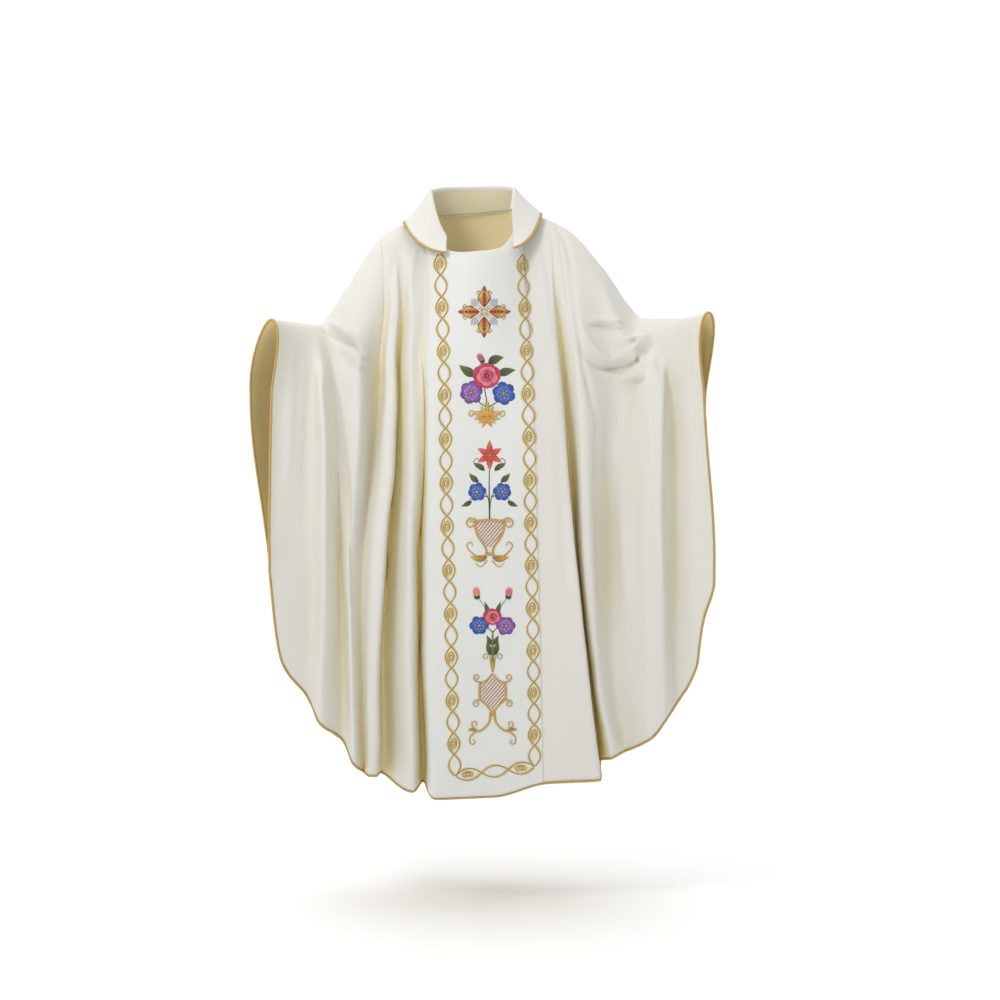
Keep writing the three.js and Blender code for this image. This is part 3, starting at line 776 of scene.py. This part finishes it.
def collar():
    """The collar's cloth in one sheet, with painted golden shade where it stands inside the neck."""
    rows = np.linspace(0, 6, 49)[:, None]
    points = collar_point(rows, np.linspace(0, 1, 221)[None, :])
    piece = grid_piece("collar_cloth", points, cloth_uv(points, arc_lengths(points, 1), 30))
    # Painted shade: the rows inside the neck get the golden fold shade
    in_the_neck = 1 - smooth((rows - 1.5) / 1.3)
    shade = np.broadcast_to(COLLAR_PAINTED_SHADE * in_the_neck, points.shape[:2])
    return finish_cloth(piece, shade[::-1], COLLAR_CLOTH, cream_cloth)


pieces["collar"] = collar()
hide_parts("collar")


def sewn_cord(name, path, out, closed):
    """A round cord along a path in millimetres, its twist drawn in the UV map; an open one has blunt ends."""
    if closed:
        ahead = unit(np.roll(path, -1, 0) - np.roll(path, 1, 0))
    else:
        ahead = unit(np.gradient(path, axis=0))
    away = unit(out - (out * ahead).sum(-1, keepdims=True) * ahead)
    up = np.cross(away, ahead)
    if closed:
        path, away, up = (np.concatenate([a, a[:1]]) for a in (path, away, up))
    radius = np.full(len(path), CORD / 2)
    if not closed:
        radius[[0, -1]] = 0
        path[0] += (path[1] - path[0]) * 0.7
        path[-1] += (path[-2] - path[-1]) * 0.7
    angle = np.linspace(0, 2 * math.pi, CORD_SIDES + 1)[:, None, None]
    points = path[None] + radius[:, None] * (np.cos(angle) * away[None] + np.sin(angle) * up[None])
    ring = np.linspace(0, math.pi * CORD, CORD_SIDES + 1)
    uv = np.stack(np.broadcast_arrays(arc_lengths(path, 0)[None, :], ring[:, None]), -1) * MM
    piece = grid_piece(name, points, uv)
    piece.data.materials.append(gold_cord)
    close_up(piece)
    return piece


def edge_route(sheet, backwards):
    """A sheet's free edge, down one side, along the hem and up the other, with its normals."""
    folds, side = sheet["folds"], sheet["side"]
    last = len(folds["top"]) - 1
    down = np.linspace(0, 1, 140)
    hem = even_places(folds, side, 0, last, 5.0, False, False)
    u = np.concatenate([np.zeros(139), hem, np.full(139, last)])
    v = np.concatenate([down[:-1], np.ones(len(hem)), down[:-1][::-1]])
    points = dressed_point(sheet, u, v)
    normals = sheet_normal(folds, side, u, v, 0.01)
    if backwards:
        points, normals = points[::-1], normals[::-1]
    return points, normals


def hem_piping():
    """One cord round the whole edge, held off it by half its own thickness."""
    front_edge, front_normals = edge_route(SHEETS["front"], False)
    back_edge, back_normals = edge_route(SHEETS["back"], True)
    edge = np.concatenate([front_edge, back_edge[1:-1]])
    normals = np.concatenate([front_normals, back_normals[1:-1]])
    ahead = np.roll(edge, -1, 0) - np.roll(edge, 1, 0)
    out = unit(np.cross(ahead, normals))
    for _ in range(3):
        out = unit(out + np.roll(out, 1, 0) + np.roll(out, -1, 0))
    return sewn_cord("hem_piping_cord", edge + out * (CORD / 2 + CORD_GAP), out, True)


pieces["hem_piping"] = hem_piping()
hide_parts("hem_piping")


def collar_piping():
    """The cord along the collar's outer edge, from one open end to the other."""
    places = np.linspace(0, 1, 260)
    edge = collar_point(np.full(260, 6.0), places)
    out = unit(edge - collar_point(np.full(260, 5.6), places))
    return sewn_cord("collar_piping_cord", edge + out * (CORD / 2 + CORD_GAP), out, False)


pieces["collar_piping"] = collar_piping()
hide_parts("collar_piping")

# Colours of the threads, as they look
THREADS = {
    "gold": (214, 170, 74), "pale gold": (236, 212, 140), "dark gold": (156, 112, 46),
    "rust": (176, 70, 36), "orange": (226, 134, 58), "bead": (112, 34, 26), "silver": (170, 166, 188),
    "rose": (216, 62, 100), "deep rose": (158, 18, 52), "pink": (244, 158, 168), "salmon": (240, 132, 96),
    "red": (206, 32, 48), "purple": (104, 46, 144), "lilac": (190, 152, 212), "blue": (26, 52, 156),
    "sky": (96, 150, 216), "white": (236, 232, 224), "green": (42, 66, 44), "olive": (128, 130, 56),
    "yellow": (228, 190, 84), "mauve": (186, 96, 116), "cream gold": (242, 228, 170),
    "brown gold": (180, 136, 62),
}

# Half of the section of a stitched line: places across it and their heights, the last side is its underside
ACROSS = np.array([-1, -0.7, -0.25, 0.25, 0.7, 1, -1])
HEIGHT = np.array([0, 0.7, 0.97, 0.97, 0.7, 0, 0])

# How wide a petal, a leaf and a bud are along their length
PETAL = [0, 0.42, 0.66, 0.84, 0.97, 1, 0.93, 0.72, 0]
LEAF = [0, 0.55, 0.86, 1, 0.95, 0.78, 0.55, 0.28, 0]
BEAD = [0, 0.6, 0.9, 1, 0.9, 0.6, 0]

# The row of the front's table that runs down the middle of the band
PANEL_MIDDLE = 13

# The middle of the gold chain down both sides of the band, and how long one oval is there
CHAIN_LEFT = [(-80, -66), (-72, -263), (-68, -447), (-65, -620), (-58, -802), (-56, -950), (-50, -1130)]
CHAIN_RIGHT = [(113, -1112), (111, -968), (108, -796), (104, -616), (101, -445), (95, -259), (86, -66)]
OVAL_LEFT = 44.3
OVAL_RIGHT = 43.4

# The gold leaves of the posy's foot: turn from straight down, length, width and colours
POSY_FOOT = [
    (12, 27, 9, "gold", "orange"), (38, 25, 10, "orange", "yellow"), (66, 29, 11, "dark gold", "pale gold"),
    (96, 32, 12, "orange", "pale gold"), (136, 24, 9, "gold", "yellow"),
]


def band_place(x, z):
    """Where on the front sheet a point of the band lies, found from how far right and up it is."""
    u = PANEL_MIDDLE + (x - 18) / 108
    v = 0.15 + 0.85 * (z + 40) / -1130
    step = 0.001
    for _ in range(7):
        at = sheet_point(FRONT_FOLDS, -1, u, v)
        by_u = (sheet_point(FRONT_FOLDS, -1, u + step, v) - at) / step
        by_v = (sheet_point(FRONT_FOLDS, -1, u, v + step) - at) / step
        dx, dz = x - at[..., 0], z - at[..., 2]
        det = by_u[..., 0] * by_v[..., 2] - by_v[..., 0] * by_u[..., 2]
        u = u + (dx * by_v[..., 2] - dz * by_v[..., 0]) / det
        v = v + (dz * by_u[..., 0] - dx * by_u[..., 2]) / det
    return u, v


def on_band(x, z, lift):
    """Points above the band's face, given in millimetres across and up the front."""
    u, v = band_place(x, z)
    base = dressed_point(SHEETS["front"], u, v)
    normal = sheet_normal(FRONT_FOLDS, -1, u, v, 0.02)
    face = BAND_LIFT + BAND_WALL / 2 - STITCH_ROOT
    return base + normal * (face + lift)[..., None]


def smooth_line(points, spacing=2.5):
    """An even line through a few points, rounded at each."""
    p = np.asarray(points, float)
    if len(p) == 2:
        dense = p[0] + (p[1] - p[0]) * np.linspace(0, 1, 12)[:, None]
    else:
        at = np.linspace(0, len(p) - 1, 14 * (len(p) - 1) + 1)
        i = np.minimum(at.astype(int), len(p) - 2)
        slope = np.gradient(p, axis=0)
        dense = hermite((at - i)[:, None], p[i], slope[i], p[i + 1], slope[i + 1])
    length = arc_lengths(dense, 0)
    count = max(4, int(length[-1] / spacing) + 1)
    even = np.linspace(0, length[-1], count)
    return np.stack([np.interp(even, length, dense[:, 0]), np.interp(even, length, dense[:, 1])], 1)


def sew(work, spine, widths, height, colour, lift, edge, tip=None):
    """Adds one raised stitched shape along a line: its widths, its colour from start to tip."""
    start_colour, tip_colour = (np.array(THREADS[c], float) for c in (colour, tip or colour))
    colours = np.linspace(start_colour, tip_colour, len(spine))
    work.append((np.asarray(spine, float), np.asarray(widths, float), height, colours, lift, edge))


def thread(work, points, colour, width, height, lift=0.0, edge=0.62, thin_end=0.5):
    spine = smooth_line(points)
    share = np.linspace(0, 1, len(spine))
    widths = width / 2 * (1 + (thin_end - 1) * share)
    widths[0] = widths[-1] = 0
    sew(work, spine, widths, height, colour, lift, edge)


def patch(
    work, x, z, angle, length, width, colour, tip=None, shape=PETAL, height=1.4, lift=0.0, edge=0.8, bend=0.0,
):
    """A petal, leaf or bead: satin stitch from its foot at (x, z) towards an angle in degrees, 90 is up."""
    share = np.linspace(0, 1, 2 * len(shape) - 1)
    turn = math.radians(angle) + bend * share
    steps = np.stack([np.cos(turn), np.sin(turn)], 1) * (length / (len(share) - 1))
    widths = np.interp(share, np.linspace(0, 1, len(shape)), shape) * width / 2
    sew(work, np.cumsum(steps, 0) - steps[0] + (x, z), widths, height, colour, lift, edge, tip)


def leaf(work, x, z, angle, length, width, bend):
    patch(work, x, z, angle, length, width, "green", "olive", LEAF, 1.2, 0.0, 0.6, bend)
    rad = math.radians(angle)
    vein = [(x, z)]
    for share, turn in ((0.5, bend / 4), (0.85, bend / 2)):
        far = share * length
        vein.append((x + far * math.cos(rad + turn), z + far * math.sin(rad + turn)))
    thread(work, vein, "green", 1.6, 0.7, 0.9)


def spiral(x, z, outer, inner, start, turns):
    """Points of a curl from its outer end inwards; turns above 0 wind anticlockwise."""
    count = max(6, int(abs(turns) * 9))
    angle = math.radians(start) + np.linspace(0, turns * 2 * math.pi, count)
    radius = outer + (inner - outer) * np.linspace(0, 1, count) ** 0.8
    return np.stack([x + radius * np.cos(angle), z + radius * np.sin(angle)], 1)


def away_from(x, z, angle, *reaches):
    """Points at some distances from (x, z), towards an angle in degrees."""
    rad = math.radians(angle)
    return [(x + reach * math.cos(rad), z + reach * math.sin(rad)) for reach in reaches]


def one_side(x, z, side):
    """Three functions that place points, curls and leaves on one side of a motif: -1 left, 1 right."""
    def place(*points):
        return [(x + side * px, z + pz) for px, pz in points]

    def curl(px, pz, outer, inner, start, turns):
        return spiral(x + side * px, z + pz, outer, inner, start, side * turns)

    def leaves(work, *rows):
        for px, pz, turn, length, width, bend in rows:
            leaf(work, x + side * px, z + pz, 90 - side * turn, length, width, side * bend)

    return place, curl, leaves


def ring_of_petals(
    work, x, z, reach, count, width, inner, outer, turn, start, lift, squash=1.0, edge=0.7,
):
    for k in range(count):
        angle = turn + 360 * k / count
        flatter = 1 - (1 - squash) * abs(math.sin(math.radians(angle)))
        size = reach * (1 + 0.06 * math.sin(5 * k + turn)) * flatter
        foot, = away_from(x, z, angle, start)
        patch(work, *foot, angle, size - start, width, inner, outer, PETAL, 1.3, lift, edge)


def bloom(work, x, z, reach, inner, outer, turn):
    """An open flower: two rings of petals, pale lines from its heart, and the heart."""
    ring_of_petals(work, x, z, reach, 6, reach * 0.8, inner, outer, turn, 1.6, 0.4, 1.0, 0.5)
    ring_of_petals(work, x, z, reach * 0.66, 6, reach * 0.36, outer, inner, turn + 30, 1.4, 1.2)
    for k in range(6):
        thread(work, away_from(x, z, turn + 60 * k, 2.2, 0.55 * reach), "white", 1.3, 0.6, 2.1, 0.9)
    patch(work, x - 2.6, z, 0, 5.2, 5.2, "yellow", None, BEAD, 1.2, 2.2)


def rose(work, x, z, reach):
    ring_of_petals(work, x, z, reach, 7, reach * 0.95, "deep rose", "rose", 12, 2.0, 0.4, 0.9)
    ring_of_petals(work, x, z, reach * 0.74, 5, reach * 0.8, "rose", "pink", 50, 1.8, 1.2, 0.9)
    ring_of_petals(work, x, z, reach * 0.44, 4, reach * 0.5, "deep rose", "rose", 20, 1.2, 2.0)
    for start, turns, size in ((200, 0.36, 0.62), (20, 0.4, 0.6), (110, 0.5, 0.34), (300, 0.45, 0.26)):
        curl = spiral(x, z, reach * size, reach * size * 0.8, start, turns)
        thread(work, curl, "pink", 2.4, 0.8, 2.6, 0.85)


def bud(work, x, z, angle, length, colour, tip):
    for off in (-16, 16):
        bend = math.radians(-off) * 1.6
        patch(work, x, z, angle + off, length, length * 0.42, colour, tip, PETAL, 1.2, 0.4, 0.8, bend)
    patch(work, x, z, angle, length * 0.92, length * 0.4, tip, colour, LEAF, 1.3, 0.9)
    for off in (-34, 0, 34):
        patch(work, x, z, angle + off, length * 0.42, length * 0.26, "green", None, LEAF, 1.0, 1.3)


def star(work, x, z, reach, inner, outer):
    for k in range(6):
        angle = 90 + 60 * k
        foot, = away_from(x, z, angle, 1.5)
        length = reach * (1 if k % 3 else 1.1)
        patch(work, *foot, angle, length, reach * 0.46, inner, outer, LEAF, 1.3, 0.6)
    for k in range(6):
        thread(work, away_from(x, z, 60 + 60 * k, 2, reach * 0.4), "yellow", 1.5, 0.7, 1.8)
    patch(work, x - 2.4, z, 0, 4.8, 4.8, "yellow", None, BEAD, 1.1, 2.0)


def lattice(work, corners, pitch, colours):
    """Crossing threads inside a shape whose corners are given in order."""
    shape = np.asarray(corners, float)
    for turn, colour, lift in ((50, colours[0], 0.4), (130, colours[1], 0.0)):
        rad = math.radians(turn)
        along = np.array([math.cos(rad), math.sin(rad)])
        off = np.array([-math.sin(rad), math.cos(rad)])
        sides = shape @ off
        for level in np.arange(sides.min() + pitch / 2, sides.max(), pitch):
            cuts = []
            for a, b in zip(shape, np.roll(shape, -1, 0)):
                da, db = a @ off - level, b @ off - level
                if da * db < 0:
                    cuts.append((a + (b - a) * da / (da - db)) @ along)
            if len(cuts) == 2 and abs(cuts[1] - cuts[0]) > 3:
                ends = [along * c + off * level for c in sorted(cuts)]
                thread(work, ends, colour, 1.8, 0.7, lift, 0.9, 1.0)


def embroider(name, work):
    """All the stitched shapes of one motif as one closed-shell piece on the band."""
    counts = [len(spine) for spine, *_ in work]
    columns = {key: [] for key in ("x", "z", "high", "u", "v", "colour")}
    for spine, widths, height, colours, lift, edge in work:
        ahead = np.gradient(spine, axis=0)
        ahead /= np.maximum(np.linalg.norm(ahead, axis=1, keepdims=True), 1e-9)
        aside = np.stack([-ahead[:, 1], ahead[:, 0]], 1)
        wide = ACROSS[:, None] * widths[None]
        columns["x"].append(spine[None, :, 0] + wide * aside[None, :, 0])
        columns["z"].append(spine[None, :, 1] + wide * aside[None, :, 1])
        fullness = height * np.sqrt(np.clip(widths / max(widths.max(), 1e-6), 0, 1))
        columns["high"].append(lift + HEIGHT[:, None] * fullness[None])
        columns["u"].append(np.broadcast_to(arc_lengths(spine, 0), wide.shape) + 0.35 * np.abs(wide))
        columns["v"].append(wide)
        shade = np.where(np.abs(ACROSS) == 1, edge, 1.0)[:, None, None]
        columns["colour"].append(colours[None] * shade)
    flat = {key: np.concatenate(value, 1) for key, value in columns.items()}
    points = on_band(flat["x"], flat["z"], flat["high"])
    uv = np.stack([flat["u"], flat["v"]], -1) * MM
    piece = grid_piece(name, points, uv)
    mesh = piece.data
    colours = mesh.color_attributes.new("thread", "FLOAT_COLOR", "POINT")
    tinted = np.ones((*flat["x"].shape, 4))
    tinted[..., :3] = to_linear(flat["colour"])
    colours.data.foreach_set("color", tinted[::-1].reshape(-1))
    between = np.cumsum(counts)[:-1] - 1
    faces = np.zeros((len(ACROSS) - 1, points.shape[1] - 1), bool)
    faces[:, between] = True
    select_only(piece)
    bpy.context.tool_settings.mesh_select_mode = (False, False, True)
    mesh.polygons.foreach_set("select", faces.reshape(-1))
    bpy.ops.object.mode_set(mode="EDIT")
    bpy.ops.mesh.delete(type="FACE")
    bpy.ops.object.mode_set(mode="OBJECT")
    close_up(piece)
    mesh.materials.append(embroidery)
    return piece


def chain_route():
    """The chain's three lines, each with its count of ovals along it and whether its ovals lie flat."""
    left = smooth_line(CHAIN_LEFT, 1.0)[::-1]
    right = smooth_line(CHAIN_RIGHT, 1.0)
    bottom = smooth_line([left[0], right[0]], 1.0)
    return (
        (left, arc_lengths(left, 0) / OVAL_LEFT, False),
        (bottom, np.linspace(0, 3, len(bottom)), True),
        (right, arc_lengths(right, 0) / OVAL_RIGHT, False),
    )


def chain(work):
    """Two gold strands that cross and part again, with a curl in every second oval."""
    for line, ovals, lies_flat in chain_route():
        ahead = unit(np.gradient(line, axis=0))
        aside = np.stack([-ahead[:, 1], ahead[:, 0]], 1)
        wave = 12.0 * np.sin(math.pi * ovals)
        for sign in (1, -1):
            swing = sign * np.sign(wave) * np.abs(wave) ** 0.9 * 12 ** 0.1
            spine = (line + aside * swing[:, None])[::3]
            lifts = 0.35 * sign * np.cos(math.pi * ovals[::3])
            ends_in = np.ones(len(spine))
            ends_in[[0, -1]] = 0
            sew(work, spine, 3.0 * ends_in, 0.8, "cream gold", 0.1 + lifts, 0.85)
            sew(work, spine, 1.1 * ends_in, 0.9, "brown gold", 0.8 + lifts, 0.75)
        wide, tall = (17, 9) if lies_flat else (9, 17)
        stretch = (13.5, 7.4) if lies_flat else (8.2, 14)
        for k in range(0 if lies_flat else 1, int(ovals[-1]), 2):
            at = np.array([np.interp(k + 0.5, ovals, line[:, i]) for i in (0, 1)])
            patch(work, at[0] - wide, at[1], 0, 2 * wide, 2 * tall, "cream gold", None, BEAD, 0.4, 0.0, 0.98)
            curl = at + spiral(0, 0, 1.0, 0.16, 250, -2.1) * stretch
            thread(work, curl, "pale gold", 3.2, 0.7, 0.4, 0.9, 0.8)
            thread(work, curl, "brown gold", 1.5, 0.7, 0.9, 0.8, 0.9)


def cross(work, x, z):
    """A cross of four leaves with gold tips, and pale rays between its arms."""
    def turned(angle, *places):
        rad = math.radians(angle)
        c, s = math.cos(rad), math.sin(rad)
        return [(x + far * c - off * s, z + far * s + off * c) for far, off in places]

    for angle in (0, 90, 180, 270):
        middles = turned(angle, (8, 0), (9, 0), (38, 0), (11, 0), (18, 0), (25, 0), (32, 0))
        patch(work, *middles[0], angle, 38, 25, "gold", "pale gold", PETAL, 1.0, 0.0, 0.55)
        for side in (-1, 1):
            foot, = turned(angle, (12, side * 3))
            patch(work, *foot, angle + 12 * side, 27, 8, "orange", "gold", LEAF, 1.1, 0.6, 0.7, -side * 0.4)
            tip = turned(angle, (36, side * 2), (42, side * 9), (38, side * 15), (34, side * 12))
            thread(work, tip, "gold", 3.4, 1.1, 0.4, 0.5)
            bow = turned(angle, (14, side * 4), (28, side * 12), (42, side * 5))
            thread(work, bow, "dark gold", 1.5, 0.9, 1.0)
        patch(work, *middles[1], angle, 34, 11, "rust", "orange", LEAF, 1.2, 1.1, 0.7)
        patch(work, *middles[2], angle, 15, 9, "orange", "bead", LEAF, 1.2, 0.9, 0.7)
        for bead in middles[3:]:
            patch(work, *bead, angle, 6, 4.6, "bead", None, BEAD, 1.1, 2.0)
        for side in (1, -1):
            thread(work, turned(angle + 45, (4, side * 1.6), (18, side * 2.4)), "gold", 2.0, 0.9, 0.6)
        for k, far in zip((-2, -1, 0, 1, 2), (30, 35, 38, 35, 30)):
            ray = turned(angle + 45, (17 + 1.5 * abs(k), 4.2 * k), (far, 4.2 * k))
            thread(work, ray, "silver", 2.6, 0.9, 0.2, 0.75, 0.9)
    thread(work, spiral(x, z, 6, 6, 0, 1.0), "gold", 2.2, 1.0, 2.2)
    patch(work, x - 2.4, z, 0, 4.8, 4.8, "white", None, BEAD, 1.0, 2.2)


def posy(work, x, z):
    """A rose between two open flowers, with leaves, a bud and a gold foot."""
    place, _, leaves = one_side(x, z, 1)
    thread(work, place((0, -62), (-2, -44), (-6, -20), (-10, 30)), "green", 2.6, 1.0)
    thread(work, place((0, -64), (-18, -52), (-30, -36)), "green", 2.6, 1.0)
    thread(work, place((0, -64), (18, -54), (30, -38)), "green", 2.6, 1.0)
    leaves(work, (2, 24, 44, 36, 19, -0.8), (-22, 0, -68, 42, 20, -0.35), (20, 2, 64, 40, 18, -0.4))
    bud(work, x - 8, z + 26, 118, 22, "deep rose", "pink")
    bloom(work, x - 33, z - 34, 24, "lilac", "purple", 15)
    bloom(work, x + 33, z - 36, 24, "sky", "blue", 40)
    rose(work, x, z, 30)
    thread(work, place((0, -52), (0, -84)), "gold", 8, 1.8, 0.8, 0.6, 0.8)
    for side in (-1, 1):
        place, curl, _ = one_side(x, z, side)
        for turn, length, wide, foot, tip in POSY_FOOT:
            angle, lift = -90 + side * turn, 0.2 + turn / 200
            patch(work, x, z - 80, angle, length, wide, foot, tip, LEAF, 1.4, lift, 0.55, side * 0.35)
        scroll = [*place((6, -82), (22, -76)), *curl(31, -75, 7, 2.4, 250, 1.0)]
        thread(work, scroll, "gold", 3.0, 1.0, 0.9)


def vase(work, x, z):
    """A latticed gold vase with scrolled handles, a star flower above it and two blue flowers."""
    for side in (-1, 1):
        place, curl, leaves = one_side(x, z, side)
        thread(work, place((0, -24), (4, 10), (22, 34), (27, 52)), "green", 2.2, 0.9)
        thread(work, place((2, 8), (16, 14), (34, 10), (43, -2)), "green", 2.2, 0.9)
        thread(work, place((14, 66), (26, 70), (32, 80), (26, 88), (20, 82)), "green", 2.2, 0.9)
        leaves(work, (22, 40, 62, 27, 13, 0.5), (10, 62, 38, 28, 12, -0.5), (36, 2, 132, 25, 11, 0.5))
        bloom(work, x + side * 26, z + 20, 19, "sky", "blue", 90 + side * 20)
        # Handle, side and lower scroll of the vase, then its spreading foot
        handle = [*place((30, -42)), *curl(38, -44, 12, 3.5, 90 + side * 60, -1.4)]
        thread(work, handle, "gold", 4.2, 1.4, 0.6)
        thread(work, place((31, -40), (25, -66), (9, -92), (5, -108)), "gold", 4.6, 1.5, 0.8, 0.5, 0.9)
        scroll = place((2, -106), (22, -112), (40, -100), (46, -88), (38, -82), (33, -90))
        thread(work, scroll, "gold", 4.2, 1.4, 0.5)
        foot, = place((5, -112))
        patch(work, *foot, -90 + side * 64, 36, 13, "dark gold", "yellow", LEAF, 1.6, 0.9, 0.6, side * 0.9)
        thread(work, place((4, -118), (18, -132), (30, -124)), "gold", 2.8, 1.1, 0.4)
    thread(work, place((0, -37), (-1, 30), (0, 74)), "green", 3.0, 1.1, 0.3)
    star(work, x, z + 94, 27, "red", "salmon")
    bowl = place((-30, -39), (30, -39), (25, -62), (9, -93), (-9, -93), (-25, -62))
    lattice(work, bowl, 5.4, ("mauve", "pale gold"))
    thread(work, place((-32, -40), (0, -37), (32, -40)), "gold", 4.6, 1.5, 1.0, 0.5, 1.0)
    thread(work, place((-10, -106), (10, -106)), "gold", 6.0, 1.7, 1.2, 0.5, 1.0)


def stand(work, x, z):
    """Flowers on a leafy stem over a latticed gold stand with scrolled feet."""
    for side in (-1, 1):
        place, curl, leaves = one_side(x, z, side)
        thread(work, place((3, 96), (14, 128), (30, 152)), "green", 2.4, 0.9)
        thread(work, place((0, 80), (12, 92), (24, 98)), "green", 2.4, 0.9)
        bud(work, x + side * 31, z + 148, 90 - side * 8, 25, "rose" if side > 0 else "orange", "pink")
        leaves(work, (9, 112, 4, 33, 11, -0.3), (1, 32, 30, 34, 13, 0.4), (1, 54, 36, 24, 10, 0.3))
        # Curls over and under the stand, its side, and its foot
        for points, scroll, *stitch in (
            (((2, 6), (5, 26)), (14, 30, 8, 2.6, 90 + side * 90, -1.2), 3.6, 1.3, 0.5),
            (((0, -4), (12, -18), (25, -22)), (32, -12, 8, 2.6, 270, 1.2), 4.0, 1.4, 0.6),
            (((26, -22), (27, -42), (26, -60)), None, 4.4, 1.4, 0.8, 0.5, 1.0),
            (((1, -84), (12, -70), (24, -60)), (33, -66, 8.5, 2.6, 90 + side * 30, -1.3), 4.0, 1.4, 0.6),
            (((4, -82), (7, -104), (22, -120), (38, -124)), None, 4.8, 1.5, 0.6, 0.5, 0.8),
            (((30, -122),), (36, -108, 8, 2.6, 250, 1.1), 3.4, 1.2, 0.5),
            (((34, -123), (46, -134)), (40, -144, 8, 2.4, 90 - side * 50, -1.0), 3.6, 1.3, 0.5),
        ):
            end = curl(*scroll) if scroll else ()
            thread(work, [*place(*points), *end], "gold", *stitch)
        foot, = place((34, -120))
        patch(work, *foot, 90 - side * 74, 18, 7, "dark gold", "yellow", LEAF, 1.3, 0.8, 0.6, -side * 0.6)
    thread(work, place((0, 4), (0, 84)), "olive", 6.0, 1.5, 0.2, 0.6, 0.6)
    bloom(work, x - 27, z + 94, 20, "sky", "blue", 60)
    bloom(work, x + 27, z + 94, 20, "lilac", "purple", 0)
    rose(work, x, z + 112, 20)
    hexagon = place((0, -8), (25, -24), (24, -58), (0, -80), (-24, -58), (-25, -24))
    lattice(work, hexagon, 5.4, ("mauve", "pale gold"))
    thread(work, place((0, -2), (0, 22)), "gold", 5.0, 1.5, 1.0, 0.5, 0.8)
    patch(work, x, z - 92, 90, 14, 9, "orange", "yellow", BEAD, 1.6, 1.0)


# Each motif and the place of its middle, in millimetres across and up the front
MOTIFS = {
    "border_embroidery": (chain, ()),
    "cross_embroidery": (cross, (9.6, -187)),
    "posy_embroidery": (posy, (16, -316)),
    "vase_embroidery": (vase, (21, -570)),
    "stand_embroidery": (stand, (27, -916)),
}
for name, (design, at) in MOTIFS.items():
    work = []
    design(work, *at)
    motif = embroider(name, work)
    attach(motif, "root")

for piece in pieces.values():
    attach(piece, "root")


# The photograph's viewing angle: the camera's place in metres, its lens and how far it looks down
CAMERA_PLACE = (0.042, -4.8, -0.217)
CAMERA_LENS = 82.3
CAMERA_SENSOR = 36
LOOKS_DOWN = 4.33

FLOOR_HEIGHT = -1.417

# Strengths of the white studio's light in front of the garment, behind it and low down, and overhead
FRONT_LIGHT = 0.34
BACK_LIGHT = 1.02
OVERHEAD_LIGHT = 1.15


def place_camera():
    bpy.ops.object.camera_add(location=CAMERA_PLACE, rotation=(math.radians(90 - LOOKS_DOWN), 0, 0))
    camera = bpy.context.object
    camera.data.lens = CAMERA_LENS
    camera.data.sensor_width = CAMERA_SENSOR
    bpy.context.scene.camera = camera


def soft_light(name, place, aim, size, power):
    bpy.ops.object.light_add(type="AREA", location=place)
    light = bpy.context.object
    light.name = name
    light.rotation_euler = (Vector(aim) - Vector(place)).to_track_quat("-Z", "Y").to_euler()
    light.data.size = size
    light.data.energy = power


def floor():
    deselect()
    bpy.ops.mesh.primitive_plane_add(size=900, location=(0, 0, FLOOR_HEIGHT))
    plane = bpy.context.object
    plane.name = "floor"
    material, nodes, links, shader = new_material("studio_floor")
    set_inputs(shader, {"Base Color": (1.0, 1.0, 1.0, 1), "Roughness": 0.9})
    plane.data.materials.append(material)


def daylight():
    """A white studio: bright behind, overhead and low down, dimmer in front, so the folds stay shaded."""
    world = bpy.data.worlds.new("studio")
    bpy.context.scene.world = world
    world.use_nodes = True
    nodes, links = world.node_tree.nodes, world.node_tree.links
    towards = add_node(nodes, "TexCoord")
    axes = add_node(nodes, "SeparateXYZ")
    links.new(towards.outputs["Generated"], axes.inputs["Vector"])

    def strength(axis, low, high, at_low, at_high):
        ends = {"From Min": low, "From Max": high, "To Min": at_low, "To Max": at_high}
        node = add_node(nodes, "MapRange", ends)
        links.new(axes.outputs[axis], node.inputs["Value"])
        return node.outputs["Result"]

    def joined(operation, first, second):
        node = add_node(nodes, "Math", operation=operation)
        links.new(first, node.inputs[0])
        links.new(second, node.inputs[1])
        return node.outputs["Value"]

    behind = strength("Y", -0.1, 0.6, FRONT_LIGHT, BACK_LIGHT)
    horizon = strength("Z", 0.05, 0.09, BACK_LIGHT, 0.0)
    overhead = strength("Z", 0.6, 0.95, 0.0, OVERHEAD_LIGHT)
    total = joined("ADD", joined("MAXIMUM", behind, horizon), overhead)
    links.new(total, nodes["Background"].inputs["Strength"])
    set_inputs(nodes["Background"], {"Color": (1, 1, 1, 1)})


place_camera()
floor()
daylight()
soft_light("key", (-1.1, -1.65, 1.05), (0, 0, -0.4), 0.6, 18.5)
bpy.context.scene.view_settings.view_transform = "Standard"
